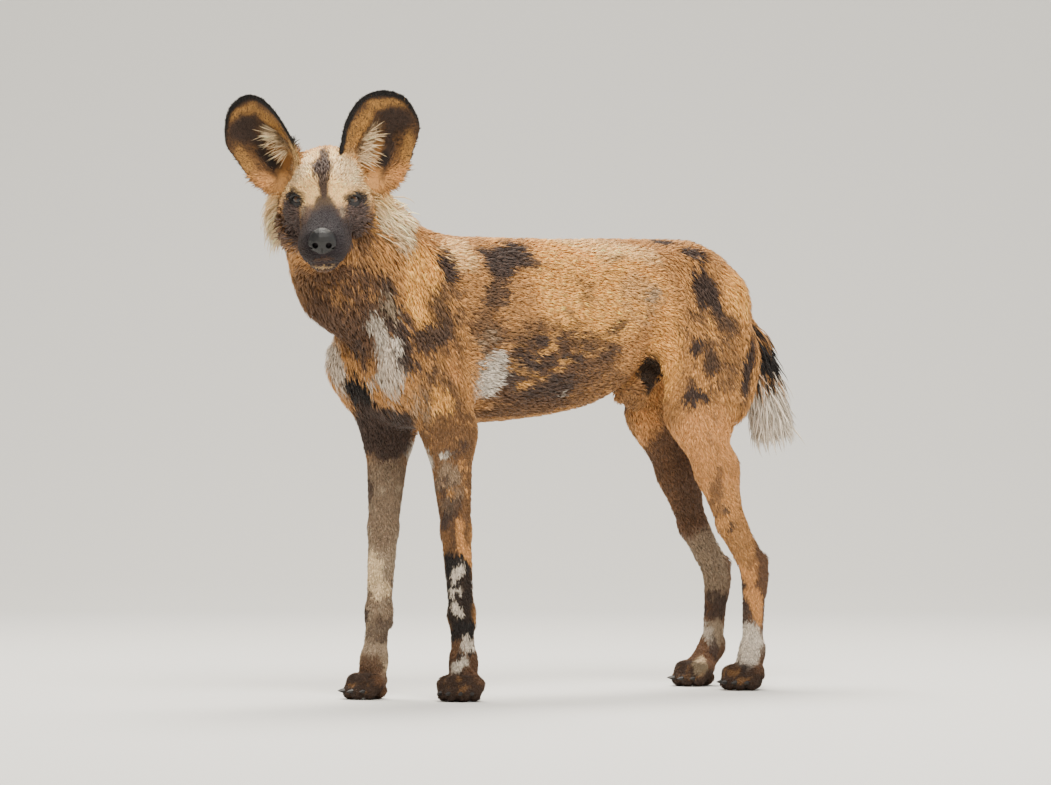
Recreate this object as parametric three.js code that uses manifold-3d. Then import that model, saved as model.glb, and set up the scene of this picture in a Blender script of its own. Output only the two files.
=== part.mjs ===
// A life-size standing African wild dog, a male with its head turned to its left, as a museum shows it.
// Millimetres. The dog faces -X, its left side is towards -Y, and +Z is up.
// Its flesh is one smooth field of blended ovals and tapered limbs. Each part of the body takes its
// own piece of that field, and thin cuts part it from its neighbours. The ears are bowls, and the
// ruff of the neck and the brush of the tail are overlapping flat locks.
import * as THREE from "three";
import { mergeVertices } from "three/addons/utils/BufferGeometryUtils.js";
import Module from "manifold-3d";

const wasm = await Module();
wasm.setup();

// Driving dimensions
const SHOULDER_HEIGHT = 700;
const TRUNK_LENGTH = 706;
const CHEST_DEPTH = 280;
const CHEST_WIDTH = 172;
const EYE_GAP = 92;
const EYE_RADIUS = 11.5;
const EAR_DEPTH = 42;
const EAR_CUP = 10;
const EAR_THICKNESS = 5.5;
const PARTING = 0.36;
const CLEARANCE = 1.3;

const LEFT = -1;
const RIGHT = 1;
const V = (x, y, z) => new THREE.Vector3(x, y, z);
const { lerp, degToRad, clamp } = THREE.MathUtils;

// Fields: each takes a point and gives its distance to a surface, negative inside.

// An oval with half sizes radii, turned by Euler angles in degrees.
function oval(centre, radii, turn = [0, 0, 0]) {
  const back = new THREE.Matrix4().makeRotationFromEuler(new THREE.Euler(...turn.map(degToRad))).invert();
  const q = V();
  return (p) => {
    q.copy(p).sub(centre).applyMatrix4(back);
    const near = Math.hypot(q.x / radii[0], q.y / radii[1], q.z / radii[2]);
    const slope = Math.hypot(q.x / radii[0] ** 2, q.y / radii[1] ** 2, q.z / radii[2] ** 2);
    return slope < 1e-9 ? -Math.min(...radii) : (near * (near - 1)) / slope;
  };
}

// A limb from a to b whose radius tapers from ra to rb, and which is `wide` times as wide in Y as deep.
function limb(a, ra, b, rb, wide = 1) {
  const run = V().subVectors(b, a);
  run.y /= wide;
  const q = V();
  return (p) => {
    q.copy(p).sub(a);
    q.y /= wide;
    const h = clamp(q.dot(run) / run.lengthSq(), 0, 1);
    return (q.addScaledVector(run, -h).length() - lerp(ra, rb, h)) * Math.min(1, wide);
  };
}

// The smooth union of fields: k is how wide the fillet between them is.
function blend(k, ...fields) {
  return (p) => {
    let d = fields[0](p);
    for (let i = 1; i < fields.length; i++) {
      const e = fields[i](p);
      const h = Math.max(k - Math.abs(d - e), 0) / k;
      d = Math.min(d, e) - (h * h * k) / 4;
    }
    return d;
  };
}

// A field that is drawn in a frame of its own, such as the head's.
function placed(field, frame) {
  const back = frame.clone().invert();
  const q = V();
  return (p) => field(q.copy(p).applyMatrix4(back));
}

// A frame at origin whose +X looks `heading` degrees round from -X towards -Y, and `dip` degrees down.
function facing(origin, heading, dip = 0, roll = 0) {
  const turn = new THREE.Euler(degToRad(roll), degToRad(dip), degToRad(180 + heading), "ZYX");
  return new THREE.Matrix4().makeRotationFromEuler(turn).setPosition(origin);
}

// A solid from vertices and triangles, and back again to a geometry.
function solid(positions, triangles) {
  const mesh = { numProp: 3, vertProperties: new Float32Array(positions), triVerts: new Uint32Array(triangles) };
  return new wasm.Manifold(new wasm.Mesh(mesh));
}

function solidOf(geometry) {
  const bare = geometry.clone();
  bare.deleteAttribute("normal");
  bare.deleteAttribute("uv");
  const merged = mergeVertices(bare, 1e-4);
  return solid(merged.attributes.position.array, merged.index.array);
}

function geometryOf(body) {
  const { vertProperties, triVerts } = body.getMesh();
  const geometry = new THREE.BufferGeometry();
  geometry.setAttribute("position", new THREE.BufferAttribute(new Float32Array(vertProperties), 3));
  geometry.setIndex(new THREE.BufferAttribute(new Uint32Array(triVerts), 1));
  const flat = geometry.toNonIndexed();
  flat.computeVertexNormals();
  return flat;
}

// Joining and cutting. A body keeps only its largest closed piece.
const joined = (bodies) => bodies.reduce((all, next) => all.add(next));
const largest = (body) =>
  body.decompose().reduce((best, next) => (next.volume() > best.volume() ? next : best));

// Everything on the side of a plane that its normal points to, as one large block.
function beyond([point, normal], gap) {
  const size = 2400;
  const away = normal.clone().normalize();
  const block = new THREE.BoxGeometry(size, size, size);
  block.translate(0, 0, size / 2 + gap);
  block.applyQuaternion(new THREE.Quaternion().setFromUnitVectors(V(0, 0, 1), away));
  block.translate(point.x, point.y, point.z);
  return solidOf(block);
}

// The space inside all of some planes, drawn back from each by half the parting, or grown by it.
const space = (planes, sign = 1) =>
  planes.map((plane) => beyond(plane, (sign * PARTING) / 2)).reduce((all, next) => all.intersect(next));
const keep = (body, planes) => body.intersect(space(planes));
const without = (body, planes) => body.subtract(space(planes, -1));

// Grid lines through stops, each of which is [place, size of the cells after it].
function lines(...stops) {
  const out = [];
  for (let i = 0; i + 1 < stops.length; i++) {
    const [from, cell] = stops[i];
    const run = stops[i + 1][0] - from;
    const count = Math.max(1, Math.round(run / cell));
    for (let k = 0; k < count; k++) out.push(from + (run * k) / count);
  }
  return [...out, stops.at(-1)[0]];
}

// Moves a point on to the field's surface, but no further than reach.
function drawOn(field, spot, level, reach) {
  const start = spot.clone();
  const e = 0.5;
  for (let step = 0; step < 4; step++) {
    const d = field(spot) - level;
    const slope = V(0, 0, 0);
    for (const axis of ["x", "y", "z"]) {
      const q = spot.clone();
      q[axis] += e;
      slope[axis] = (field(q) - level - d) / e;
    }
    if (slope.lengthSq() < 1e-6) return spot;
    spot.addScaledVector(slope, -d / slope.lengthSq());
  }
  const moved = spot.clone().sub(start);
  if (moved.length() > reach) spot.copy(start).addScaledVector(moved, reach / moved.length());
  return spot;
}

// The closed surface of a field inside a grid, `level` outside its own: one vertex to each cell that
// the surface crosses, drawn on to the surface, and one square to each grid line that crosses it.
function surface(field, [xs, ys, zs], level = 0) {
  const [nx, ny, nz] = [xs.length, ys.length, zs.length];
  const at = (i, j, k) => (k * ny + j) * nx + i;
  const value = new Float64Array(nx * ny * nz);
  const p = V();
  for (let k = 0; k < nz; k++)
    for (let j = 0; j < ny; j++)
      for (let i = 0; i < nx; i++) {
        const rim = !i || !j || !k || i === nx - 1 || j === ny - 1 || k === nz - 1;
        value[at(i, j, k)] = rim ? 1 : field(p.set(xs[i], ys[j], zs[k])) - level;
      }
  const spots = [];
  const cells = new Map();
  const corners = [0, 1, 2, 3, 4, 5, 6, 7].map((c) => [c & 1, (c >> 1) & 1, c >> 2]);
  for (let k = 0; k + 1 < nz; k++)
    for (let j = 0; j + 1 < ny; j++)
      for (let i = 0; i + 1 < nx; i++) {
        const seen = corners.map(([a, b, c]) => value[at(i + a, j + b, k + c)]);
        if (seen.every((v) => v < 0) || seen.every((v) => v >= 0)) continue;
        const crossings = [];
        for (let a = 0; a < 8; a++)
          for (const bit of [1, 2, 4]) {
            const b = a | bit;
            if (b === a || seen[a] < 0 === seen[b] < 0) continue;
            const f = seen[a] / (seen[a] - seen[b]);
            const spot = (grid, first, axis) =>
              lerp(grid[first + corners[a][axis]], grid[first + corners[b][axis]], f);
            crossings.push(V(spot(xs, i, 0), spot(ys, j, 1), spot(zs, k, 2)));
          }
        const centre = crossings.reduce((sum, c) => sum.add(c), V(0, 0, 0)).divideScalar(crossings.length);
        const inner = i && j && k && i + 2 < nx && j + 2 < ny && k + 2 < nz;
        const size = Math.min(xs[i + 1] - xs[i], ys[j + 1] - ys[j], zs[k + 1] - zs[k]);
        if (inner) drawOn(field, centre, level, size * 0.4);
        cells.set(at(i, j, k), spots.length);
        spots.push(centre);
      }
  const triangles = [];
  const square = (ring, flip) => {
    const [a, b, c, d] = ring.map((cell) => cells.get(at(...cell)));
    const long = spots[a].distanceTo(spots[c]) > spots[b].distanceTo(spots[d]);
    const halves = long ? [[a, b, d], [b, c, d]] : [[a, b, c], [a, c, d]];
    for (const [u, v, w] of halves) triangles.push(...(flip ? [u, w, v] : [u, v, w]));
  };
  for (let k = 0; k < nz; k++)
    for (let j = 0; j < ny; j++)
      for (let i = 0; i < nx; i++) {
        const here = value[at(i, j, k)] < 0;
        const crosses = (a, b, c) => value[at(i + a, j + b, k + c)] < 0 !== here;
        if (j && k && i + 1 < nx && crosses(1, 0, 0))
          square([[i, j - 1, k - 1], [i, j, k - 1], [i, j, k], [i, j - 1, k]], !here);
        if (i && k && j + 1 < ny && crosses(0, 1, 0))
          square([[i - 1, j, k - 1], [i - 1, j, k], [i, j, k], [i, j, k - 1]], !here);
        if (i && j && k + 1 < nz && crosses(0, 0, 1))
          square([[i - 1, j - 1, k], [i, j - 1, k], [i, j, k], [i - 1, j, k]], !here);
      }
  return solid(spots.flatMap((s) => s.toArray()), triangles);
}

// The point where a ray from inside the field leaves it.
function leaving(field, from, direction, reach = 260) {
  let [near, far] = [0, reach];
  for (let step = 0; step < 60; step++) {
    const t = (reach * step) / 60;
    if (field(from.clone().addScaledVector(direction, t)) > 0) {
      far = t;
      break;
    }
    near = t;
  }
  for (let step = 0; step < 16; step++) {
    const mid = (near + far) / 2;
    if (field(from.clone().addScaledVector(direction, mid)) > 0) far = mid;
    else near = mid;
  }
  return from.clone().addScaledVector(direction, near);
}

// Torso: rib cage, belly that tucks up to the loin, breast, withers and croup
const BACK = SHOULDER_HEIGHT;
const BREAST_X = -0.49 * TRUNK_LENGTH;
const RUMP_X = 0.51 * TRUNK_LENGTH;
const KEEL = BACK - CHEST_DEPTH;
const HALF_CHEST = CHEST_WIDTH / 2;
const trunkMass = blend(
  40,
  oval(V(-130, 0, (BACK + KEEL) / 2 - 2), [205, HALF_CHEST, CHEST_DEPTH / 2 + 1], [0, -2, 0]),
  oval(V(20, 0, 556), [185, HALF_CHEST * 0.88, 124], [0, -8, 0]),
  oval(V(130, 0, 612), [150, 64, 82], [0, -4, 0]),
  oval(V(238, 0, 590), [RUMP_X - 238, 72, 88], [0, 16, 0]),
  oval(V(BREAST_X + 84, 0, 502), [84, 66, 92], [0, -28, 0]),
  limb(V(-228, 0, 656), 46, V(-60, 0, 656), 42),
  limb(V(-60, 0, 656), 42, V(262, 0, 652), 42),
  limb(V(262, 0, 652), 42, V(322, 0, 616), 44),
);
const BACK_LINE = [[-400, 720], [-228, 705], [-60, 700], [210, 699], [268, 697], [304, 686], [342, 664], [374, 632], [410, 580]];
function backHeight(x) {
  const i = clamp(BACK_LINE.findIndex(([knot]) => knot > x), 1, BACK_LINE.length - 1);
  const [[x0, z0], [x1, z1]] = [BACK_LINE[i - 1], BACK_LINE[i]];
  return lerp(z0, z1, clamp((x - x0) / (x1 - x0), 0, 1));
}
function torsoField(p) {
  const over = p.z - backHeight(p.x) + 0.006 * p.y ** 2;
  const inside = trunkMass(p);
  const h = Math.max(10 - Math.abs(over - inside), 0) / 10;
  return Math.max(over, inside) + h * h * 2.5;
}

// Neck: deep and narrow, rising forward from the withers and turning a little to the left
const NECK = [V(-256, 0, 588), V(-354, 0, 662), V(-412, -8, 722)];
const neckField = blend(
  30,
  limb(NECK[0], 100, NECK[1], 104, 0.7),
  limb(NECK[1], 104, NECK[2], 80, 0.76),
);

// Head, in its own frame: the origin lies midway between the eyes, +X runs to the nose, +Z is up
const HEAD_TURN = 51;
const HEAD_DIP = 17;
const headFrame = facing(V(-471, -80, 755), HEAD_TURN, HEAD_DIP);
const HALF_EYES = EYE_GAP / 2;
const bothSides = (make) => [make(LEFT), make(RIGHT)];
const headField = blend(
  16,
  oval(V(-60, 0, 10), [66, 52, 54]),
  oval(V(-26, 0, 23), [46, 43, 33], [0, 12, 0]),
  limb(V(-20, 0, -12), 36, V(72, 0, -40), 27, 1.14),
  limb(V(0, 0, 2), 16, V(84, 0, -28), 13, 1.3),
  limb(V(10, 0, -52), 30, V(72, 0, -57), 21, 1.25),
  limb(V(-70, 0, -52), 36, V(10, 0, -66), 26, 1.1),
  limb(V(0, 0, -70), 22, V(62, 0, -76), 15.5, 1.2),
  ...bothSides((s) => oval(V(-42, s * 42, -22), [46, 26, 34], [0, 0, s * -8])),
  ...bothSides((s) => oval(V(-60, s * 44, -44), [34, 20, 34])),
  ...bothSides((s) => oval(V(-8, s * 32, 14), [16, 15, 7], [s * 20, 10, 0])),
  ...bothSides((s) => oval(V(62, s * 18, -50), [28, 18, 20])),
  ...bothSides((s) => limb(V(-84, s * 32, 24), 24, V(-98, s * 50, 20), 17)),
);

// Forelegs and hind legs: shoulder or thigh, shank, and the bend of each joint
const leg = {
  foreleft: { side: LEFT, shoulder: V(-300, -56, 510), elbow: V(-228, -62, 412), wrist: V(-210, -68, 132) },
  foreright: { side: RIGHT, shoulder: V(-312, 56, 512), elbow: V(-249, 64, 414), wrist: V(-270, 62, 132) },
  hindleft: { side: LEFT, hip: V(262, -42, 588), stifle: V(234, -66, 434), hock: V(354, -70, 178) },
  hindright: { side: RIGHT, hip: V(262, 42, 588), stifle: V(258, 64, 432), hock: V(386, 64, 168) },
};
Object.assign(leg.foreleft, { paw: facing(V(-204, -66, 0), 40), top: 2 });
Object.assign(leg.foreright, { paw: facing(V(-276, 63, 0), 4), top: 2 });
Object.assign(leg.hindleft, { paw: facing(V(344, -72, 0), 18), top: -6 });
Object.assign(leg.hindright, { paw: facing(V(360, 67, 0), 6), top: -21 });
const pastern = ({ paw, top }) => V(top, 0, 58).applyMatrix4(paw);

function forelegField(l) {
  const { side, shoulder, elbow, wrist } = l;
  const blade = V(shoulder.x + 105, side * 46, 640);
  const mid = V().lerpVectors(elbow, wrist, 0.55);
  const back = (v, d) => v.clone().add(V(d, 0, 0));
  return blend(
    26,
    limb(blade, 40, shoulder, 42, 0.72),
    limb(shoulder, 46, elbow, 40, 0.74),
    oval(V(elbow.x - 22, elbow.y, elbow.z + 78), [78, 30, 62], [0, 20, 0]),
    blend(
      8,
      limb(elbow, 40, mid, 25, 0.74),
      limb(mid, 25, wrist, 20, 0.84),
      limb(back(elbow, 22), 16, back(elbow, 8), 16),
      oval(back(wrist, 1), [21, 19, 30]),
      oval(back(wrist, 18).add(V(0, 0, -16)), [8, 8, 10]),
      limb(wrist, 19, pastern(l), 18, 0.96),
    ),
  );
}

function hindlegField(l) {
  const { side, hip, stifle, hock } = l;
  const ischium = V(RUMP_X - 34, side * 40, 585);
  const ham = V(stifle.x + 62, stifle.y, 455);
  const calf = V().lerpVectors(stifle, hock, 0.36).add(V(5, 0, 0));
  const gaskin = V().lerpVectors(stifle, hock, 0.68).add(V(-8, 0, 0));
  return blend(
    26,
    limb(hip, 78, stifle, 44, 0.56),
    limb(ischium, 34, ham, 42, 0.66),
    oval(V(stifle.x + 50, side * 58, 500), [82, 34, 92], [0, 0, 0]),
    blend(
      10,
      limb(stifle, 40, calf, 38, 0.64),
      limb(calf, 38, gaskin, 24, 0.7),
      limb(gaskin, 24, hock, 19, 0.74),
      limb(hock, 21, pastern(l), 17, 0.8),
      limb(hock.clone().add(V(15, 0, 24)), 9, hock.clone().add(V(3, 0, -20)), 17, 0.8),
    ),
  );
}

// A paw in its own frame, which lies on the ground under the pastern: four toes and the pads
const TOES = [
  { x: 33, y: -23, r: 11.5, out: -10 },
  { x: 44, y: -9, r: 12, out: -3 },
  { x: 44, y: 9, r: 12, out: 3 },
  { x: 33, y: 23, r: 11.5, out: 10 },
];
const toeField = ({ x, y, r }) =>
  blend(8, limb(V(6, y * 0.62, 30), 14, V(x - 14, y, 25), r + 1), limb(V(x - 14, y, 25), r + 1, V(x - 3, y, 12), r));
function pawField({ paw, top }) {
  return placed(
    blend(
      7,
      ...TOES.map(toeField),
      limb(V(top, 0, 62), 18, V(6, 0, 30), 21, 1.1),
      oval(V(4, 0, 13), [22, 21, 15]),
    ),
    paw,
  );
}

// Tail: it leaves the croup, hangs behind the thighs and ends in the brush
const TAIL = [V(312, 0, 646), V(362, 0, 618), V(394, -2, 556), V(416, -4, 492), V(432, -5, 436)];
const TAIL_RADII = [26, 20, 16, 15, 13];
const tailField = blend(
  12,
  ...TAIL.slice(1).map((end, i) => limb(TAIL[i], TAIL_RADII[i], end, TAIL_RADII[i + 1])),
);

const legs = Object.values(leg);
const fields = {
  trunk: blend(44, torsoField, neckField),
  legs: legs.map((l) => (l.shoulder ? forelegField(l) : hindlegField(l))),
  paws: legs.map(pawField),
  head: placed(headField, headFrame),
};
const upper = blend(28, fields.trunk, ...fields.legs);
const flesh = blend(26, upper, tailField, fields.head);
const legAndPaw = (i) => blend(14, flesh, fields.paws[i]);

// The planes that part the body. Each normal points into the part that is named.
const headPlanes = [
  [V(-112, 0, 0), V(1, 0, 0)],
  [V(-40, 0, -80), V(0.32, 0, 0.95)],
  [V(-60, 68, -58), V(0, -0.6, 0.8)],
].map(([point, normal]) => [point.applyMatrix4(headFrame), normal.transformDirection(headFrame)]);
const neckPlane = [V(-262, 0, 640), V(-0.8, 0, 0.6)];
const tailPlanes = [
  [V(RUMP_X - 6, 0, 640), V(1, 0, 0.3)],
  [V(0, -26, 0), V(0, 1, 0)],
  [V(0, 26, 0), V(0, -1, 0)],
];
const forePlanes = ({ side, shoulder }) => [
  [V(0, side * 48, 440), V(0, side, -0.5)],
  [V(shoulder.x + 152, 0, 450), V(-1, 0, -0.25)],
  [V(0, 0, 600), V(0.25, 0, -1)],
];
const hindPlanes = ({ side }) => [
  [V(0, side * 50, 520), V(0, side, -0.42)],
  [V(168, 0, 480), V(1, 0, -0.1)],
];
const elbowPlane = ({ elbow }) => [elbow.clone().add(V(0, 0, -22)), V(0.12, 0, -1)];
const stiflePlane = ({ stifle }) => [stifle.clone().add(V(20, 0, -34)), V(0.45, 0, -1)];
const wristPlane = ({ paw }) => [V(0, 0, 56).applyMatrix4(paw), V(0, 0, -1)];
const floorPlane = [V(0, 0, -PARTING / 2), V(0, 0, 1)];
const flip = ([point, normal]) => [point, normal.clone().negate()];

const nodes = [];
function part(name, body, material) {
  nodes.push({ name, body: largest(body).simplify(PARTING / 3), material });
  return body;
}

// Materials
const coat = (color, roughness = 0.85) => new THREE.MeshStandardMaterial({ color, roughness, metalness: 0 });
const tan = coat(0xc8935a);
const darkFur = coat(0x33261f);
const paleFur = coat(0xe9dccb);
const maskFur = coat(0x4b3f3d);
const barkBrown = coat(0x7a5038);
const noseLeather = coat(0x1c1b1f, 0.45);
const horn = coat(0x1a1512, 0.5);
const eyeball = coat(0x6b4016, 0.1);

// A round ball, a bar between two points, and a tube that follows points
const ball = (centre, radius, across = 20) =>
  solidOf(new THREE.SphereGeometry(radius, across, across * 0.6).translate(...centre));
function tube(points, radius, sides = 6, steps = 24) {
  const shape = new THREE.Shape().absarc(0, 0, radius, 0, 2 * Math.PI);
  const path = new THREE.CatmullRomCurve3(points);
  return solidOf(new THREE.ExtrudeGeometry(shape, { steps, curveSegments: sides, extrudePath: path }));
}

// A flat, tapered lock of hair: it leaves its root along rise, then lies over towards lie.
const LOCK_STATIONS = [
  { t: 0, width: 0.75, thick: 1 },
  { t: 0.38, width: 1, thick: 0.85 },
  { t: 0.72, width: 0.66, thick: 0.55 },
];
function lock(root, rise, lie, { length, width, thick, sink }) {
  const start = root.clone().addScaledVector(rise, -sink);
  const turn = root.clone().addScaledVector(rise, length * 0.3);
  const end = turn.clone().addScaledVector(lie, length * 0.7);
  const curve = new THREE.QuadraticBezierCurve3(start, turn, end);
  const across = V().crossVectors(rise, lie).normalize();
  const spots = LOCK_STATIONS.flatMap(({ t, width: w, thick: h }) => {
    const centre = curve.getPoint(t);
    const up = V().crossVectors(across, curve.getTangent(t)).normalize();
    const shift = (a, b) => centre.clone().addScaledVector(across, a).addScaledVector(up, b).toArray();
    return [shift((w * width) / 2, 0), shift(0, (h * thick) / 2), shift((-w * width) / 2, 0), shift(0, (-h * thick) / 2)];
  });
  spots.push(end.toArray());
  const triangles = [0, 2, 1, 0, 3, 2];
  for (let k = 0; k < 4; k++) {
    const next = (k + 1) % 4;
    for (const ring of [0, 4]) triangles.push(ring + k, ring + next, ring + 4 + next, ring + k, ring + 4 + next, ring + 4 + k);
    triangles.push(8 + k, 8 + next, 12);
  }
  const body = solid(spots.flat(), triangles);
  return body.volume() > 0 ? body : solid(spots.flat(), triangles.toReversed());
}

// Torso, and the one surface that the neck and the upper legs are parted from too
const bodyGrid = [lines([-530, 26], [-400, 32], [408, 32]), lines([-126, 24], [126, 24]), lines([376, 25], [751, 27], [859, 27])];
const body = surface(flesh, bodyGrid);
const around = surface(flesh, bodyGrid, CLEARANCE);
let torso = without(keep(body, [flip(neckPlane)]), tailPlanes);
for (const l of legs) torso = without(torso, l.shoulder ? forePlanes(l) : hindPlanes(l));
part("torso", torso, tan);

// Legs, paws and claws
for (const [i, l] of legs.entries()) {
  const kind = l.shoulder ? "fore" : "hind";
  const side = l.side === LEFT ? "left" : "right";
  const planes = l.shoulder ? forePlanes(l) : hindPlanes(l);
  const bend = l.shoulder ? elbowPlane(l) : stiflePlane(l);
  part(`${kind}leg_upper_${side}`, keep(body, [...planes, flip(bend)]), tan);
  const shank = l.shoulder ? [l.wrist.x - 45, l.elbow.x + 60] : [l.stifle.x - 50, l.hock.x + 45];
  const width = [l.side * 66 - 56, l.side * 66 + 56];
  const lowerGrid = [lines([shank[0], 17], [shank[1], 17]), lines([width[0], 14], [width[1], 14]), lines([30, 27], [219, 37], [480, 37])];
  part(`${kind}leg_lower_${side}`, keep(surface(legAndPaw(i), lowerGrid), [bend, flip(wristPlane(l)), ...planes]), tan);

  const own = placed(legAndPaw(i), l.paw.clone().invert());
  const pawGrid = [lines([-42, 10.5], [66, 10.5]), lines([-45, 10], [45, 10]), lines([-16, 12], [74, 12])];
  const footPlanes = [wristPlane(l), floorPlane];
  part(`${kind}paw_${side}`, keep(surface(own, pawGrid).transform(l.paw.elements), footPlanes), darkFur);
  const foot = surface(own, pawGrid, PARTING).transform(l.paw.elements);
  for (const [k, toe] of TOES.entries()) {
    const profile = [[0, -6], [4.2, -5], [4.4, 3], [2.6, 11], [0, 17]].map(([r, h]) => new THREE.Vector2(r, h));
    const claw = new THREE.LatheGeometry(profile, 5).rotateZ(degToRad(-104));
    claw.translate(toe.x + 2, 0, 13).rotateZ(degToRad(toe.out)).translate(0, toe.y - toe.x * Math.sin(degToRad(toe.out)), 0);
    part(`claw_${kind}_${side}_${k + 1}`, solidOf(claw.applyMatrix4(l.paw)).subtract(foot).intersect(space([floorPlane])), horn);
  }
}

// Tail and its brush
const tailGrid = [lines([330, 20], [470, 20]), lines([-45, 18], [45, 18]), lines([396, 24.5], [690, 24.5])];
const tailCore = keep(surface(flesh, tailGrid), tailPlanes);
const tailPath = new THREE.CatmullRomCurve3(TAIL);
const brush = [];
const BRUSH_ROWS = 4;
const BRUSH_ROUND = 5;
for (let row = 0; row < BRUSH_ROWS; row++) {
  const s = lerp(0.46, 0.985, row / (BRUSH_ROWS - 1));
  const axis = tailPath.getTangentAt(s);
  const spot = tailPath.getPointAt(s);
  const side = V(0, 1, 0);
  const front = V().crossVectors(axis, side).normalize();
  for (let k = 0; k < BRUSH_ROUND; k++) {
    const angle = (2 * Math.PI * (k + (row % 2) / 2)) / BRUSH_ROUND;
    const out = front.clone().multiplyScalar(Math.cos(angle)).addScaledVector(side, Math.sin(angle));
    const spread = lerp(0.7, 0.25, row / (BRUSH_ROWS - 1));
    const rise = axis.clone().addScaledVector(out, spread).normalize();
    const lie = axis.clone().addScaledVector(out, 0.12 - 0.3 * (row / BRUSH_ROWS)).normalize();
    const vary = 1 + 0.12 * Math.sin(5 * k + 3 * row);
    const root = leaving(tailField, spot, out, 60).addScaledVector(out, -5);
    brush.push(lock(root, rise, lie, { length: 82 * vary, width: 32, thick: 9, sink: 4 }));
  }
}
part("tail", joined([tailCore, ...brush]).simplify(2.2).subtract(without(around, tailPlanes)), paleFur);

// Neck and its ruff
const neckCore = without(keep(body, [neckPlane]), headPlanes);
const ruff = [];
const RUFF_ROWS = 3;
const nape = V(0.6, 0, 0.8);
for (let row = 0; row < RUFF_ROWS; row++) {
  const spot = V().lerpVectors(NECK[2], NECK[1], row * 0.45 - 0.25);
  const back = V().subVectors(NECK[1], NECK[2]).normalize();
  for (const s of [LEFT, RIGHT])
    for (let k = 0; k < 4; k++) {
      const angle = degToRad(38 + 27 * (k + (row % 2) / 2));
      const out = nape.clone().multiplyScalar(Math.cos(angle)).addScaledVector(V(0, s, 0), Math.sin(angle));
      const root = leaving(flesh, spot, out, 200);
      const rise = back.clone().addScaledVector(out, 0.75).normalize();
      const lie = back.clone().addScaledVector(out, 0.1).add(V(0, 0, -0.25)).normalize();
      const vary = 1 + 0.15 * Math.sin(4 * k + 2 * row + s);
      ruff.push(lock(root, rise, lie, { length: 50 * vary, width: 31, thick: 8, sink: 7 }));
    }
}
const ruffed = without(joined([neckCore, ...ruff]).simplify(1.6), headPlanes);
part("neck", ruffed.subtract(without(around, [neckPlane])), tan);

// Head: its surface, then lids, eye openings, nose, nostrils and the line of the mouth
const headOwn = placed(flesh, headFrame.clone().invert());
const headGrid = [
  lines([-140, 18], [-32, 10.7], [118, 10.7]),
  lines([-98, 17], [-45, 10], [45, 17], [98, 17]),
  lines([-125, 12], [-17, 9.5], [21, 15], [82, 15]),
];
let head = surface(headOwn, headGrid);
const skull = surface(headOwn, headGrid, CLEARANCE).transform(headFrame.elements);

const eyes = bothSides((s) => {
  const look = V(Math.cos(degToRad(30)), s * Math.sin(degToRad(30)), 0.06).normalize();
  const brow = leaving(headField, V(-26, s * (HALF_EYES - 18), 0), look, 60);
  return { s, look, centre: brow.addScaledVector(look, 1.2 - EYE_RADIUS) };
});
for (const { s, look, centre } of eyes) {
  const opening = new THREE.Shape();
  opening.moveTo(-11.5, 0).quadraticCurveTo(0, 11, 11.5, 0).quadraticCurveTo(0, -11, -11.5, 0);
  const almond = new THREE.ExtrudeGeometry(opening, { depth: 24, bevelEnabled: false, curveSegments: 7 });
  almond.rotateZ(degToRad(s * -10));
  const facingOut = new THREE.Matrix4().lookAt(look, V(0, 0, 0), V(0, 0, 1)).setPosition(centre);
  head = joined([head, ball(centre, EYE_RADIUS + 2.4, 16)])
    .subtract(ball(centre, EYE_RADIUS + 2 * PARTING, 14))
    .subtract(solidOf(almond.applyMatrix4(facingOut)));
  const name = s === LEFT ? "eye_right" : "eye_left";
  part(name, ball(centre, EYE_RADIUS, 14).transform(headFrame.elements), eyeball);
}

const noseField = blend(
  7,
  oval(V(93, 0, -29), [15, 18.5, 15]),
  ...bothSides((s) => oval(V(93, s * 11, -38), [12, 10.5, 12])),
  oval(V(96, 0, -44), [8, 9, 11]),
);
const noseGrid = [lines([64, 7.5], [116, 7.5]), lines([-30, 7.5], [30, 7.5]), lines([-65, 7.5], [-6, 7.5])];
let nose = surface(noseField, noseGrid);
for (const s of [LEFT, RIGHT]) {
  nose = nose.subtract(solidOf(new THREE.SphereGeometry(1, 9, 6).scale(9, 4.6, 5.4).translate(104, s * 10, -38)));
  nose = nose.subtract(solidOf(new THREE.SphereGeometry(1, 8, 5).scale(7, 7, 1.8).translate(99, s * 19, -43)));
}
nose = nose.subtract(solidOf(new THREE.BoxGeometry(6, 1.6, 20).translate(105, 0, -52)));
part("nose", nose.transform(headFrame.elements), noseLeather);

// The mouth's line runs from under the nose round both cheeks
const MOUTH = [[104, 0, -74], [94, 13, -75], [74, 25, -76], [52, 32, -74], [34, 38, -69], [20, 44, -60]];
const seat = (x, y, z) => drawOn(headField, V(x, y, z), 0, 30);
const mouth = [...MOUTH.slice(1).reverse().map(([x, y, z]) => seat(x, -y, z)), ...MOUTH.map((m) => seat(...m))];
const lip = (lift) => mouth.map((m) => drawOn(headField, V(m.x, m.y, m.z + lift), -2.2, 30));
head = joined([head, tube(lip(4.2), 3.8, 5, 15), tube(lip(-4), 3.4, 5, 15)]).subtract(tube(mouth, 1.8, 4, 15));
head = head.subtract(solidOf(new THREE.BoxGeometry(9, 1.4, 22).translate(95, 0, -64)));

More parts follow.
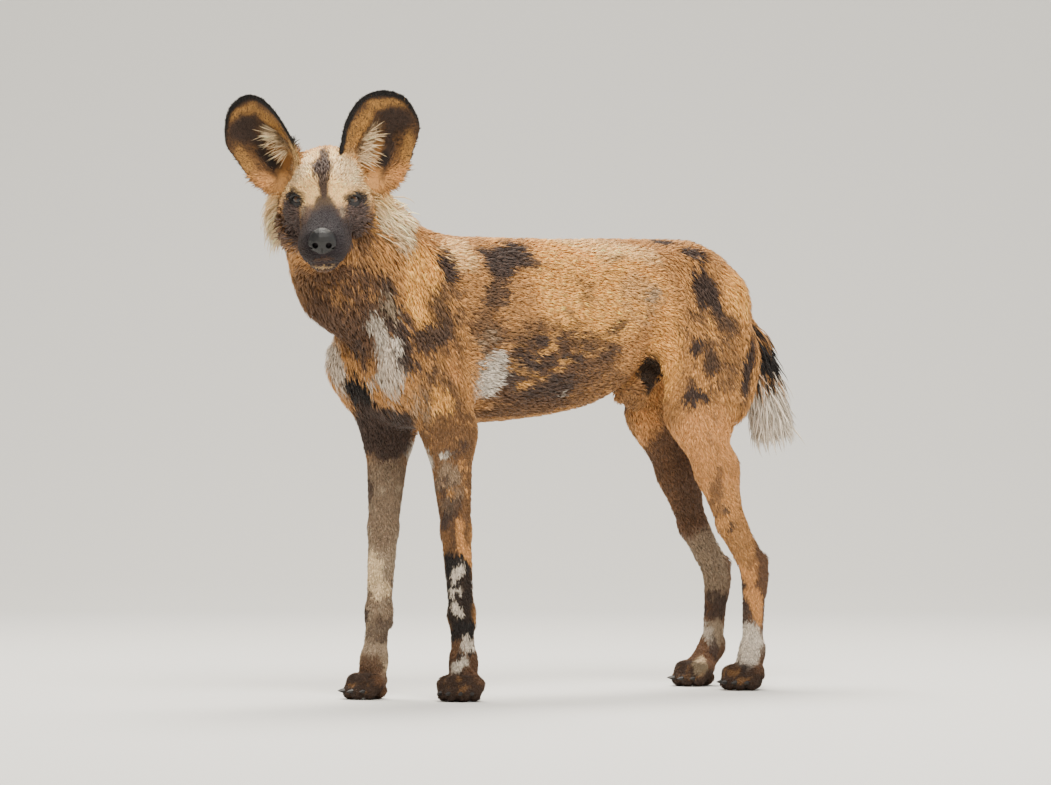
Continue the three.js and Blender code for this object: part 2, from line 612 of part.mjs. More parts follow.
// Tufts that stand out behind the cheeks
const cheekTufts = bothSides((s) =>
  [0, -12, -23, -34, -45].map((fall, k) => {
    const out = V(-0.25, s * Math.cos(degToRad(fall)), Math.sin(degToRad(fall))).normalize();
    const root = leaving(headField, V(-60 - 9 * (k % 2), 0, -26), out, 120);
    const lie = V(-0.35, s * 0.8, -0.36).normalize();
    return lock(root, out, lie, { length: 44 - 4 * (k % 2), width: 34, thick: 9, sink: 8 });
  }),
).flat();
head = joined([head.simplify(0.6), joined(cheekTufts).simplify(1)]).subtract(surface(noseField, noseGrid, PARTING));
part("head", keep(head.transform(headFrame.elements), headPlanes), maskFur);

// Ears: a thick-walled funnel that opens forward, wide and round above and narrow where it enters the
// head. The rim is drawn from the root's centre as [outward, up].
const EAR_RIM = [
  [-68, 4], [-70, 30], [-70, 53], [-63, 78], [-50, 97], [-27, 110], [-1, 112], [19, 104], [35, 87], [45, 66],
  [43, 39], [41, 15], [33, -8], [22, -28], [4, -40], [-21, -40], [-54, -26],
];
const EAR_ROUND = 24;
const earRim = new THREE.CatmullRomCurve3(EAR_RIM.map(([out, up]) => V(0, out, up)), true).getSpacedPoints(EAR_ROUND);
function earFunnel(frame, side) {
  const rings = [0.2, 0.42, 0.68, 0.9, 1];
  const spot = (fraction, k, inner) => {
    const out = earRim[k].y * fraction;
    const depth = EAR_DEPTH * (1 - fraction) ** 1.2 + EAR_CUP * (1 - (out / 60) ** 2);
    return [inner * EAR_THICKNESS - depth, side * (out - 16 * (1 - fraction)), earRim[k].z * fraction];
  };
  const spots = [spot(0, 0, 0)];
  for (const f of rings) for (let k = 0; k < EAR_ROUND; k++) spots.push(spot(f, k, 0));
  for (const f of rings.toReversed()) for (let k = 0; k < EAR_ROUND; k++) spots.push(spot(f * 0.985, k, 1));
  spots.push(spot(0, 0, 1));
  const triangles = [];
  const last = spots.length - 1;
  for (let k = 0; k < EAR_ROUND; k++) {
    const n = (k + 1) % EAR_ROUND;
    triangles.push(0, 1 + n, 1 + k, last, last - EAR_ROUND + k, last - EAR_ROUND + n);
    for (let r = 0; r + 1 < 2 * rings.length; r++) {
      const [a, b] = [1 + r * EAR_ROUND, 1 + (r + 1) * EAR_ROUND];
      triangles.push(a + k, a + n, b + n, a + k, b + n, b + k);
    }
  }
  const body = solid(spots.flat(), triangles);
  return (body.volume() > 0 ? body : solid(spots.flat(), triangles.toReversed())).transform(frame.elements);
}
const EARS = [
  { name: "ear_left", side: 1, at: [-62, 82, 35], turn: 14, lean: 14, back: 6 },
  { name: "ear_right", side: -1, at: [-62, -90, 33], turn: -32, lean: -41, back: 4 },
];
for (const { name, side, at, turn, lean, back } of EARS) {
  const pose = new THREE.Euler(degToRad(-lean), degToRad(-back), degToRad(turn), "ZYX");
  const frame = new THREE.Matrix4().makeRotationFromEuler(pose).setPosition(...at).premultiply(headFrame);
  part(name, earFunnel(frame, side).subtract(skull), darkFur);
}

// Sheath, under the back of the belly
const sheathField = blend(14, limb(V(222, 0, 500), 22, V(150, 0, 462), 17), oval(V(178, 0, 462), [23, 20, 30], [0, 12, 0]));
const sheathGrid = [lines([110, 13], [266, 13]), lines([-39, 13], [39, 13]), lines([410, 13], [540, 13])];
part("sheath", surface(sheathField, sheathGrid).subtract(around), barkBrown);

// The model stands with the middle of its outline over the origin
const dog = new THREE.Group();
for (const { name, body, material } of nodes) {
  const mesh = new THREE.Mesh(geometryOf(body), material);
  mesh.name = name;
  dog.add(mesh);
}
const outline = new THREE.Box3().setFromObject(dog);
const middle = outline.getCenter(V());
dog.position.set(-middle.x, -middle.y, -outline.min.z);
const model = new THREE.Group();
model.add(dog);
export default model;
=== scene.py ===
import math
import bmesh
import bpy
import numpy as np
from mathutils import Matrix, Vector
from mathutils.bvhtree import BVHTree


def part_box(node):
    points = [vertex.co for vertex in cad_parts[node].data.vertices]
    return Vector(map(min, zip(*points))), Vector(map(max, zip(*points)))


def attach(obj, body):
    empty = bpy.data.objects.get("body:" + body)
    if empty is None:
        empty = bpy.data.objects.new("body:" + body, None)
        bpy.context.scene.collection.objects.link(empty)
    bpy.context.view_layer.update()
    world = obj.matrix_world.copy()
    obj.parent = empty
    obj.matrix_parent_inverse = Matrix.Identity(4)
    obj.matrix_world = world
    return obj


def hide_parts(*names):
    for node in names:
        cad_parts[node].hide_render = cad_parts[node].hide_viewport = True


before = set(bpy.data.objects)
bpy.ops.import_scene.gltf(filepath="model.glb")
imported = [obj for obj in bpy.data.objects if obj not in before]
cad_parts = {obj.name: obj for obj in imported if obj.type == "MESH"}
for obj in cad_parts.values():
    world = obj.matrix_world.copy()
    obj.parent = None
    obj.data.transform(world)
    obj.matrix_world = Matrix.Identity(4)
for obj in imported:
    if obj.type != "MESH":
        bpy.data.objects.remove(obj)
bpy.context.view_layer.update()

# Flesh. The body under the coat: rib cage, neck, legs, paws, head and the core of the tail, as one
# smooth form in millimetres. The dog faces -X with its left side towards -Y. Ovals and tapered limbs
# are joined with fillets, and low swellings and hollows give the bones and muscles.


def rotation(axis, degrees):
    return np.array(Matrix.Rotation(math.radians(degrees), 3, axis))


def length_of(rows):
    return np.sqrt(np.einsum("ij,ij->i", rows, rows))


def oval(centre, radii, turn=(0, 0, 0)):
    spin = rotation("X", turn[0]) @ rotation("Y", turn[1]) @ rotation("Z", turn[2])
    centre = np.array(centre, float)
    radii = np.array(radii, float)

    def field(p):
        q = (p - centre) @ spin / radii
        near = length_of(q)
        slope = length_of(q / radii)
        return near * (near - 1) / np.maximum(slope, 1e-9)

    return field


def limb(a, ra, b, rb, wide=1.0):
    squeeze = np.array([1, 1 / wide, 1])
    a = np.array(a, float)
    run = (np.array(b, float) - a) * squeeze

    def field(p):
        q = (p - a) * squeeze
        h = np.clip(q @ run / (run @ run), 0, 1)
        q -= h[:, None] * run
        return (length_of(q) - ra - (rb - ra) * h) * min(1, wide)

    return field


def blend(width, *fields):
    def field(p):
        d = fields[0](p)
        for other in fields[1:]:
            e = other(p)
            h = np.maximum(width - np.abs(d - e), 0) / width
            d = np.minimum(d, e) - h * h * width / 4
        return d

    return field


def facing(origin, heading, dip=0.0):
    return np.array(origin, float), rotation("Z", 180 + heading) @ rotation("Y", dip)


def placed(field, place):
    origin, axes = place
    return lambda p: field((p - origin) @ axes)


def carried(place, spot):
    origin, axes = place
    return origin + np.asarray(spot, float) @ axes.T


BACK_X = [-400, -228, -60, 210, 268, 304, 342, 374, 410]
BACK_Z = [720, 705, 700, 699, 697, 686, 664, 632, 580]
BREAST_X = -346
RUMP_X = 360
trunk_mass = blend(
    40,
    oval((-130, 0, 558), (205, 86, 141), (0, -2, 0)),
    oval((20, 0, 556), (185, 75.7, 124), (0, -8, 0)),
    oval((130, 0, 612), (150, 64, 82), (0, -4, 0)),
    oval((238, 0, 590), (RUMP_X - 238, 72, 88), (0, 16, 0)),
    oval((BREAST_X + 84, 0, 502), (84, 66, 92), (0, -28, 0)),
    limb((-228, 0, 656), 46, (-60, 0, 656), 42),
    limb((-60, 0, 656), 42, (262, 0, 652), 42),
    limb((262, 0, 652), 42, (322, 0, 616), 44),
)


def torso_field(p):
    over = p[:, 2] - np.interp(p[:, 0], BACK_X, BACK_Z) + 0.006 * p[:, 1] ** 2
    inside = trunk_mass(p)
    h = np.maximum(10 - np.abs(over - inside), 0) / 10
    return np.maximum(over, inside) + h * h * 2.5


NECK = [(-256, 0, 588), (-354, 0, 662), (-412, -8, 722)]
neck_field = blend(30, limb(NECK[0], 100, NECK[1], 104, 0.7), limb(NECK[1], 104, NECK[2], 80, 0.76))

HEAD = facing((-471, -80, 755), 51, 17)
SIDES = (-1, 1)
head_field = blend(
    16,
    oval((-60, 0, 10), (66, 52, 54)),
    oval((-26, 0, 23), (46, 43, 33), (0, 12, 0)),
    limb((-20, 0, -12), 36, (72, 0, -40), 27, 1.14),
    limb((0, 0, 2), 16, (84, 0, -28), 13, 1.3),
    limb((10, 0, -52), 30, (72, 0, -57), 21, 1.25),
    limb((-70, 0, -52), 36, (10, 0, -66), 26, 1.1),
    limb((0, 0, -70), 22, (62, 0, -76), 15.5, 1.2),
    *[oval((-42, s * 42, -22), (46, 26, 34), (0, 0, s * -8)) for s in SIDES],
    *[oval((-60, s * 44, -44), (34, 20, 34)) for s in SIDES],
    *[oval((-8, s * 32, 14), (16, 15, 7), (s * 20, 10, 0)) for s in SIDES],
    *[oval((62, s * 18, -50), (28, 18, 20)) for s in SIDES],
    *[limb((-84, s * 32, 24), 24, (-98, s * 50, 20), 17) for s in SIDES],
)

FORE = [
    {"side": -1, "shoulder": (-300, -56, 510), "elbow": (-228, -62, 412), "wrist": (-210, -68, 132),
     "paw": facing((-204, -66, 0), 40), "top": 2},
    {"side": 1, "shoulder": (-312, 56, 512), "elbow": (-249, 64, 414), "wrist": (-270, 62, 132),
     "paw": facing((-276, 63, 0), 4), "top": 2},
]
HIND = [
    {"side": -1, "hip": (262, -42, 588), "stifle": (234, -66, 434), "hock": (354, -70, 178),
     "paw": facing((344, -72, 0), 18), "top": -6},
    {"side": 1, "hip": (262, 42, 588), "stifle": (258, 64, 432), "hock": (386, 64, 168),
     "paw": facing((360, 67, 0), 6), "top": -21},
]


def between(a, b, t):
    return tuple(p + (q - p) * t for p, q in zip(a, b))


def moved(a, x=0, y=0, z=0):
    return (a[0] + x, a[1] + y, a[2] + z)


def foreleg_field(leg):
    shoulder, elbow, wrist = leg["shoulder"], leg["elbow"], leg["wrist"]
    mid = between(elbow, wrist, 0.55)
    pastern = carried(leg["paw"], (leg["top"], 0, 58))
    return blend(
        26,
        limb((shoulder[0] + 105, leg["side"] * 46, 640), 40, shoulder, 42, 0.72),
        limb(shoulder, 46, elbow, 40, 0.74),
        oval(moved(elbow, x=-22, z=78), (78, 30, 62), (0, 20, 0)),
        blend(
            8,
            limb(elbow, 40, mid, 25, 0.74),
            limb(mid, 25, wrist, 20, 0.84),
            limb(moved(elbow, x=22), 16, moved(elbow, x=8), 16),
            oval(moved(wrist, x=1), (21, 19, 30)),
            oval(moved(wrist, x=18, z=-16), (8, 8, 10)),
            limb(wrist, 19, pastern, 18, 0.96),
        ),
    )


def hindleg_field(leg):
    side, hip, stifle, hock = leg["side"], leg["hip"], leg["stifle"], leg["hock"]
    calf = moved(between(stifle, hock, 0.36), x=5)
    gaskin = moved(between(stifle, hock, 0.68), x=-8)
    pastern = carried(leg["paw"], (leg["top"], 0, 58))
    return blend(
        26,
        limb(hip, 78, stifle, 44, 0.56),
        limb((RUMP_X - 34, side * 40, 585), 34, (stifle[0] + 62, stifle[1], 455), 42, 0.66),
        oval((stifle[0] + 50, side * 58, 500), (82, 34, 92)),
        blend(
            10,
            limb(stifle, 40, calf, 38, 0.64),
            limb(calf, 38, gaskin, 24, 0.7),
            limb(gaskin, 24, hock, 19, 0.74),
            limb(hock, 21, pastern, 17, 0.8),
            limb(moved(hock, x=15, z=24), 9, moved(hock, x=3, z=-20), 17, 0.8),
            limb(moved(gaskin, x=14), 11, moved(hock, x=13, z=22), 9, 0.8),
        ),
    )


TOES = [(33, -23, 11.5), (44, -9, 12), (44, 9, 12), (33, 23, 11.5)]


def toe_field(toe):
    x, y, r = toe
    return blend(
        8,
        limb((6, y * 0.62, 30), 14, (x - 14, y, 25), r + 1),
        limb((x - 14, y, 25), r + 1, (x - 3, y, 12), r),
    )


def paw_field(leg):
    own = blend(
        5,
        *[toe_field(toe) for toe in TOES],
        limb((leg["top"], 0, 62), 18, (6, 0, 30), 21, 1.1),
        oval((4, 0, 13), (22, 21, 15)),
    )
    return placed(own, leg["paw"])


TAIL = [(312, 0, 646), (362, 0, 618), (394, -2, 556), (416, -4, 492), (432, -5, 436)]
TAIL_RADII = [26, 20, 16, 15, 13]
tail_field = blend(12, *[limb(TAIL[i], TAIL_RADII[i], TAIL[i + 1], TAIL_RADII[i + 1]) for i in range(4)])
sheath_field = blend(
    14, limb((222, 0, 500), 22, (150, 0, 462), 17), oval((178, 0, 462), (23, 20, 30), (0, 12, 0))
)
flesh_field = blend(
    26,
    blend(
        28,
        blend(44, torso_field, neck_field),
        *[foreleg_field(leg) for leg in FORE],
        *[hindleg_field(leg) for leg in HIND],
    ),
    tail_field,
    placed(head_field, HEAD),
)
paws_field = blend(1, *[paw_field(leg) for leg in FORE + HIND])
flesh = blend(10, blend(14, flesh_field, paws_field), sheath_field)

# x, half width, z, reach and rise of each swelling or hollow of the flesh, the same on both sides
RELIEF = [
    (-216, 60, 650, 34, 4.0), (-252, 66, 600, 30, 4.0), (-286, 74, 540, 34, 5.0), (-262, 84, 470, 34, 5.0),
    (-196, 84, 520, 30, -4.0), (-206, 84, 596, 26, -3.0), (-216, 66, 412, 20, 3.0), (-180, 84, 446, 26, -4.0),
    (178, 70, 560, 46, -6.0), (206, 62, 520, 34, -4.0), (258, 60, 664, 22, 5.0), (330, 58, 620, 26, 4.0),
    (300, 78, 560, 40, 4.0), (250, 84, 500, 40, 4.0), (344, 64, 520, 26, 3.0), (306, 76, 470, 26, -4.0),
    (-120, 88, 560, 40, 3.0), (-60, 86, 520, 44, 3.0), (-346, 60, 600, 30, 3.0), (-320, 30, 440, 26, 3.0),
]


def skin_form(p):
    rise = np.zeros(len(p))
    for x, y, z, reach, height in RELIEF:
        for s in SIDES:
            q = (p - (x, s * y, z)) / reach
            rise += height * np.exp(-np.einsum("ij,ij->i", q, q))
    ribs = np.exp(-(((p[:, 0] + 10) / 90) ** 2) - ((p[:, 2] - 545) / 60) ** 2) * (np.abs(p[:, 1]) > 40)
    rise += 0.9 * ribs * np.sin((p[:, 0] + 0.35 * (p[:, 2] - 500)) / 5.2)
    return flesh(p) - rise


def slope_of(field, p, step=0.5):
    here = field(p)
    out = np.empty_like(p)
    for axis in range(3):
        q = p.copy()
        q[:, axis] += step
        out[:, axis] = (field(q) - here) / step
    return here, out


def drawn_on(field, p, level=0.0, rounds=3, reach=6.0):
    for _ in range(rounds):
        here, slope = slope_of(field, p)
        push = (level - here) / np.maximum(length_of(slope) ** 2, 0.2)
        push = np.clip(push, -reach, reach)
        p = p + slope * push[:, None]
    return p


def net(field, low, high, cell):
    axes = [np.arange(a, b + cell, cell) for a, b in zip(low, high)]
    grid = np.stack(np.meshgrid(*axes, indexing="ij"), -1)
    value = field(grid.reshape(-1, 3)).reshape(grid.shape[:3])
    inside = value < 0
    nx, ny, nz = inside.shape
    count = np.zeros((nx - 1, ny - 1, nz - 1), int)
    corners = [(a, b, c) for a in (0, 1) for b in (0, 1) for c in (0, 1)]
    for a, b, c in corners:
        count += inside[a:nx - 1 + a, b:ny - 1 + b, c:nz - 1 + c]
    mixed = (count > 0) & (count < 8)
    cells = np.argwhere(mixed)
    number = np.full(mixed.shape, -1)
    number[mixed] = np.arange(len(cells))
    total = np.zeros((len(cells), 3))
    hits = np.zeros(len(cells))
    for corner in corners:
        for axis in range(3):
            if corner[axis]:
                continue
            other = list(corner)
            other[axis] = 1
            i, j = cells + corner, cells + other
            a, b = value[tuple(i.T)], value[tuple(j.T)]
            crosses = (a < 0) != (b < 0)
            t = np.where(crosses, a / np.where(crosses, a - b, 1), 0)[:, None]
            spot = grid[tuple(i.T)] * (1 - t) + grid[tuple(j.T)] * t
            total += spot * crosses[:, None]
            hits += crosses
    spots = total / hits[:, None]
    faces = []
    rings = [
        [(0, -1, -1), (0, 0, -1), (0, 0, 0), (0, -1, 0)],
        [(-1, 0, -1), (-1, 0, 0), (0, 0, 0), (0, 0, -1)],
        [(-1, -1, 0), (0, -1, 0), (0, 0, 0), (-1, 0, 0)],
    ]
    for axis, ring in enumerate(rings):
        far = np.roll(inside, -1, axis)
        edge = inside != far
        edge[tuple([slice(None)] * axis + [-1])] = False
        found = np.argwhere(edge)
        quads = np.stack([number[tuple((found + step).T)] for step in ring], 1)
        starts_in = inside[tuple(found.T)]
        quads[~starts_in] = quads[~starts_in][:, ::-1]
        faces.append(quads)
    return spots, np.concatenate(faces)


def mesh_of(name, spots, faces):
    mesh = bpy.data.meshes.new(name)
    mesh.from_pydata(spots.tolist(), [], faces.tolist())
    return mesh


def spots_of(mesh):
    flat = np.empty(len(mesh.vertices) * 3)
    mesh.vertices.foreach_get("co", flat)
    return flat.reshape(-1, 3)


def set_spots(mesh, spots):
    mesh.vertices.foreach_set("co", np.asarray(spots, float).ravel())
    mesh.update()


def finer(mesh, wanted=None):
    work = bmesh.new()
    work.from_mesh(mesh)
    edges = work.edges[:]
    if wanted is not None:
        chosen = [f for f in work.faces if wanted[f.index]]
        edges = list({e for f in chosen for e in f.edges})
    bmesh.ops.subdivide_edges(work, edges=edges, cuts=1, use_grid_fill=True)
    bmesh.ops.triangulate(work, faces=[f for f in work.faces if len(f.verts) > 4])
    work.to_mesh(mesh)
    work.free()


# How the coat lies: from a to b on each stretch of the body, with the depth it has over the flesh, and
# the length, width and lift of its tufts. In the head's own frame for the head, and else on the body.
LIE = []


def coat_run(a, b, depth, length, width, lift, place=None, both=False):
    for s in (SIDES if both else (1,)):
        ends = [np.array(end, float) * (1, s, 1) for end in (a, b)]
        if place is not None:
            ends = [carried(place, end) for end in ends]
        LIE.append((*ends, depth, length, width, lift))


coat_run((92, 0, -10), (10, 0, 14), 1.6, 4.5, 1.4, 0.2, HEAD)
coat_run((8, 0, 38), (-100, 0, 60), 3.0, 10, 1.9, 0.34, HEAD)
coat_run((92, 20, -50), (30, 36, -48), 1.6, 4.5, 1.4, 0.2, HEAD, True)
coat_run((26, 44, -30), (-40, 62, -24), 2.6, 9, 1.9, 0.3, HEAD, True)
coat_run((-20, 60, -40), (-66, 72, -54), 5.0, 20, 2.4, 0.42, HEAD, True)
coat_run((86, 6, -90), (10, 20, -98), 2.4, 7, 1.7, 0.24, HEAD, True)
coat_run((0, 20, -100), (-60, 30, -118), 4.0, 12, 2.2, 0.24, HEAD, True)
coat_run((-404, 0, 806), (-270, 0, 706), 5.0, 19, 2.4, 0.28)
coat_run((-416, 66, 744), (-330, 84, 600), 5.5, 21, 2.4, 0.28, both=True)
coat_run((-446, 20, 660), (-400, 26, 560), 4.5, 16, 2.3, 0.26, both=True)
coat_run((-420, -66, 690), (-366, -76, 560), 5.0, 18, 2.4, 0.26)
coat_run((-384, 20, 560), (-340, 24, 420), 5.0, 17, 2.4, 0.26, both=True)
coat_run((-300, 86, 660), (-250, 92, 480), 5.5, 14, 2.2, 0.26, both=True)
coat_run((-250, 0, 712), (280, 0, 700), 5.0, 15, 2.2, 0.27)
coat_run((-190, 92, 640), (180, 70, 610), 5.0, 14, 2.2, 0.26, both=True)
coat_run((-170, 92, 520), (190, 66, 520), 5.0, 14, 2.2, 0.26, both=True)
coat_run((-200, 30, 420), (190, 30, 480), 5.0, 13, 2.4, 0.26, both=True)
coat_run((290, 20, 700), (366, 20, 612), 5.0, 15, 2.2, 0.26, both=True)
coat_run((220, 80, 640), (300, 92, 470), 4.5, 14, 2.4, 0.25, both=True)
coat_run((366, 50, 600), (322, 66, 440), 5.0, 18, 2.5, 0.28, both=True)
coat_run((220, 70, 520), (196, 70, 420), 4.0, 12, 2.2, 0.26, both=True)
for leg in FORE:
    coat_run(leg["elbow"], leg["wrist"], 2.6, 8, 1.8, 0.26)
    coat_run(leg["wrist"], carried(leg["paw"], (2, 0, 50)), 2.2, 7, 1.6, 0.24)
for leg in HIND:
    coat_run(leg["stifle"], leg["hock"], 2.8, 9, 1.9, 0.26)
    coat_run(leg["hock"], carried(leg["paw"], (0, 0, 50)), 2.2, 7, 1.6, 0.24)
for leg in FORE + HIND:
    coat_run(carried(leg["paw"], (-10, 0, 40)), carried(leg["paw"], (56, 0, 10)), 1.4, 5, 1.5, 0.2)
for i in range(4):
    coat_run(TAIL[i], TAIL[i + 1], (5, 4, 4, 4)[i], (14, 14, 18, 24)[i], 2.2, 0.2)
coat_run((200, 0, 500), (160, 0, 440), 2.5, 9, 2.0, 0.22)


def coat_at(p):
    total = np.zeros(len(p))
    lie = np.zeros((len(p), 3))
    sizes = np.zeros((len(p), 4))
    for a, b, *own in LIE:
        run = b - a
        h = np.clip((p - a) @ run / (run @ run), 0, 1)
        away = p - a - h[:, None] * run
        weight = 1 / (length_of(away) ** 2 + 60) ** 3
        total += weight
        lie += weight[:, None] * (run / np.linalg.norm(run))
        sizes += weight[:, None] * np.array(own)
    return lie / total[:, None], sizes / total[:, None]


MOUTH = [(104, 0, -74), (94, 13, -75), (74, 25, -76), (52, 32, -74), (34, 38, -69), (20, 44, -60)]
mouth_line = [(x, -y, z) for x, y, z in MOUTH[:0:-1]] + MOUTH
mouth_line = drawn_on(head_field, np.array(mouth_line, float))


def tube_field(points, radius):
    return blend(1, *[limb(a, radius, b, radius) for a, b in zip(points, points[1:])])


upper_lip = tube_field(drawn_on(head_field, mouth_line + (0, 0, 4.4), -2.4), 3.6)
lower_lip = tube_field(drawn_on(head_field, mouth_line + (0, 0, -4.2), -2.2), 3.2)
mouth_cut = tube_field(mouth_line, 1.5)
philtrum_cut = limb((103, 0, -52), 1.2, (103, 0, -74), 1.2)
EYE_RADIUS = 11.5
eyes = []
for s in SIDES:
    look = np.array([math.cos(math.radians(30)), s * math.sin(math.radians(30)), 0.06])
    look /= np.linalg.norm(look)
    start = np.array([-26, s * 28, 0.0])
    reach = np.linspace(0, 60, 601)
    outside = head_field(start + reach[:, None] * look) > 0
    brow = start + reach[np.argmax(outside)] * look
    eyes.append((s, look, brow + look * (1.2 - EYE_RADIUS)))


def face_form(p):
    """The head with its lips, mouth line and the groove under the nose, in the head's own frame."""
    head = blend(4, head_field, upper_lip, lower_lip)
    d = head(p)
    for cut in (mouth_cut, philtrum_cut):
        d = np.maximum(d, -cut(p) - 0.4)
    return d


def pressed_behind_eyes(p):
    """Where an eyeball stands, the skin lies just under its surface."""
    for _, look, centre in eyes:
        q = p - centre
        deep = q @ look
        off = length_of(q - deep[:, None] * look)
        under = np.sqrt(np.maximum(EYE_RADIUS ** 2 - off ** 2, 0)) - 1.2
        share = np.clip((12.5 - off) / 3.0, 0, 1) * (deep > 0)
        p = p + (share * np.minimum(under - deep, 0))[:, None] * look
    return p


def near_head(p, margin):
    q = (p - HEAD[0]) @ HEAD[1]
    return head_field(q) < margin, q


spots, faces = net(flesh, (-600, -230, -6), (470, 130, 850), 8.0)
skin_mesh = mesh_of("skin", spots, faces)
finer(skin_mesh)
spots = drawn_on(skin_form, spots_of(skin_mesh))
set_spots(skin_mesh, spots)
close, own = near_head(spots, 10)
fine = close & (own[:, 0] > -95)
for leg in FORE + HIND:
    fine |= (np.linalg.norm(spots - carried(leg["paw"], (20, 0, 20)), axis=1) < 62) & (spots[:, 2] < 54)
corner_of = [face.vertices[0] for face in skin_mesh.polygons]
finer(skin_mesh, fine[corner_of])
spots = drawn_on(skin_form, spots_of(skin_mesh), rounds=2)
lie, sizes = coat_at(spots)
spots = drawn_on(skin_form, spots, -sizes[:, 0], rounds=2)
close, own = near_head(spots, 6)
front = close & (own[:, 0] > -30)
shaped = pressed_behind_eyes(drawn_on(face_form, own[front], -1.6, rounds=3, reach=3.0))
spots[front] = shaped @ HEAD[1].T + HEAD[0]
spots[:, 2] = np.maximum(spots[:, 2], 0.6)
set_spots(skin_mesh, spots)

# The solid model's eyes tell how far the whole body is moved to stand over the floor's origin.
eye_boxes = [np.mean([list(c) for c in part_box(f"eye_{name}")], axis=0) for name in ("left", "right")]
eye_mid = carried(HEAD, (eyes[0][2] + eyes[1][2]) / 2)
SHIFT = np.mean(eye_boxes, axis=0) * 1000 - eye_mid
SHIFT[2] = 0.0
set_spots(skin_mesh, (spots + SHIFT) / 1000)

# The camera stands where the photographer stood: 37 degrees round from the dog's left side towards its
# head, a little above its back, 13 m away. Its field is that of a long lens.
TURN = math.radians(37)
RISE = math.radians(1)
FAR = 13000
PIXELS_PER_MM = 0.653
PICTURE = (1051, 785)
target = np.array([-30 * math.cos(TURN), 30 * math.sin(TURN), 463])
forward = np.array([math.sin(TURN) * math.cos(RISE), math.cos(TURN) * math.cos(RISE), -math.sin(RISE)])
rightward = np.array([math.cos(TURN), -math.sin(TURN), 0.0])
upward = np.cross(rightward, forward)
stand = target - forward * FAR
camera_data = bpy.data.cameras.new("camera")
camera_data.sensor_width = 36
camera_data.lens = 36 * PIXELS_PER_MM * FAR / PICTURE[0]
camera_data.clip_end = 100
camera = bpy.data.objects.new("camera", camera_data)
bpy.context.scene.collection.objects.link(camera)
camera.matrix_world = Matrix.Translation((stand + SHIFT) / 1000) @ Matrix(
    np.stack([rightward, upward, -forward], 1).tolist()
).to_4x4()
bpy.context.scene.camera = camera


def sight(X, Y):
    """The direction in which the camera sees a place of the picture."""
    out = forward * PIXELS_PER_MM * FAR + rightward * (X - PICTURE[0] / 2) + upward * (PICTURE[1] / 2 - Y)
    return out / np.linalg.norm(out)


skin_tree = BVHTree.FromPolygons(spots.tolist(), [tuple(face.vertices) for face in skin_mesh.polygons])


def seen_skin(X, Y):
    """The skin's point and normal at a place of the picture, or the nearest skin where none is seen."""
    spot, normal, _, _ = skin_tree.ray_cast(Vector(stand), Vector(sight(X, Y)))
    if spot is None:
        away = (target - stand) @ forward
        reach = sight(X, Y) * away / (sight(X, Y) @ forward)
        spot, normal, _, _ = skin_tree.find_nearest(Vector(stand + reach))
    return np.array(spot), np.array(normal)


def on_plane(X, Y, origin, normal):
    return stand + sight(X, Y) * ((origin - stand) @ normal / (sight(X, Y) @ normal))


# Markings. A wild dog's coat is blotched all over in black, tan and white, and no two are alike. Each
# blotch is an oval that reaches into the body, with edges that wander as the hairs do. Two blotches also
# carry painted light and shade: the sunlit front edge of the far hind leg, and the shade in the groin.
def colour(*rgb):
    return np.array([((c / 255 + 0.055) / 1.055) ** 2.4 for c in rgb])


TAN = colour(196, 141, 82)
GOLD = colour(246, 180, 96)
STRAW = colour(252, 206, 142)
ORANGE = colour(222, 158, 94)
BROWN = colour(94, 67, 47)
DARK = colour(72, 56, 48)
BLACK = colour(32, 27, 25)
MASK = colour(42, 35, 38)
CHEEK = colour(88, 72, 66)
GREY = colour(158, 138, 114)
CREAM = colour(232, 204, 162)
WHITE = colour(210, 197, 180)


GRAIN_FACTORS = (374761393, 668265263, 2147483647)
GRAIN_STIR = 1274126177


def noise(p, size, seed):
    """Smooth noise from -1 to 1 at points of the body, in lumps of about the given size."""
    q = p / size + seed * 17.13
    cell = np.floor(q).astype(np.int64)
    f = q - cell
    f = f * f * (3 - 2 * f)
    total = np.zeros(len(p))
    for a in (0, 1):
        for b in (0, 1):
            for c in (0, 1):
                n = ((cell + (a, b, c)) * GRAIN_FACTORS).sum(1)
                n = (n ^ (n >> 13)) * GRAIN_STIR & 0x7FFFFFFF
                n = ((n ^ (n >> 16)) & 0xFFFF) / 65535
                weight = np.where(a, f[:, 0], 1 - f[:, 0]) * np.where(b, f[:, 1], 1 - f[:, 1])
                total += n * weight * np.where(c, f[:, 2], 1 - f[:, 2])
    return total * 2 - 1


def wandering(p, amount=1.0):
    """The points moved a little to and fro, so that a marking's edge wanders."""
    out = p.copy()
    for axis in range(3):
        out[:, axis] += amount * 11 * noise(p, 42, axis + 1)
        out[:, axis] += amount * 5 * noise(p, 15, axis + 5)
        out[:, axis] += amount * 2.5 * noise(p, 5, axis + 9)
    return out


def blotch(shade, X, Y, rx, ry, turn=0.0, reach=60.0, strength=1.0, mottle=0.0):
    """An oval marking placed by the picture on the skin that is seen there. Reach is how deep it goes
    through the body, and mottle how much of it is broken up into flecks."""
    t = math.radians(turn)
    centre, normal = seen_skin(X, Y)
    normal = normal - 0.7 * forward
    first = on_plane(X + rx * math.cos(t), Y - rx * math.sin(t), centre, normal) - centre
    second = on_plane(X + ry * math.sin(t), Y + ry * math.cos(t), centre, normal) - centre
    third = np.cross(first, second)
    third *= reach / np.linalg.norm(third)
    return shade, centre, np.linalg.inv(np.stack([first, second, third], 1)), strength, mottle


def face_blotch(shade, at, radii, strength=1.0, mottle=0.0):
    """An oval marking in the head's own frame."""
    return shade, carried(HEAD, at), np.linalg.inv(HEAD[1] @ np.diag(radii)), strength, mottle


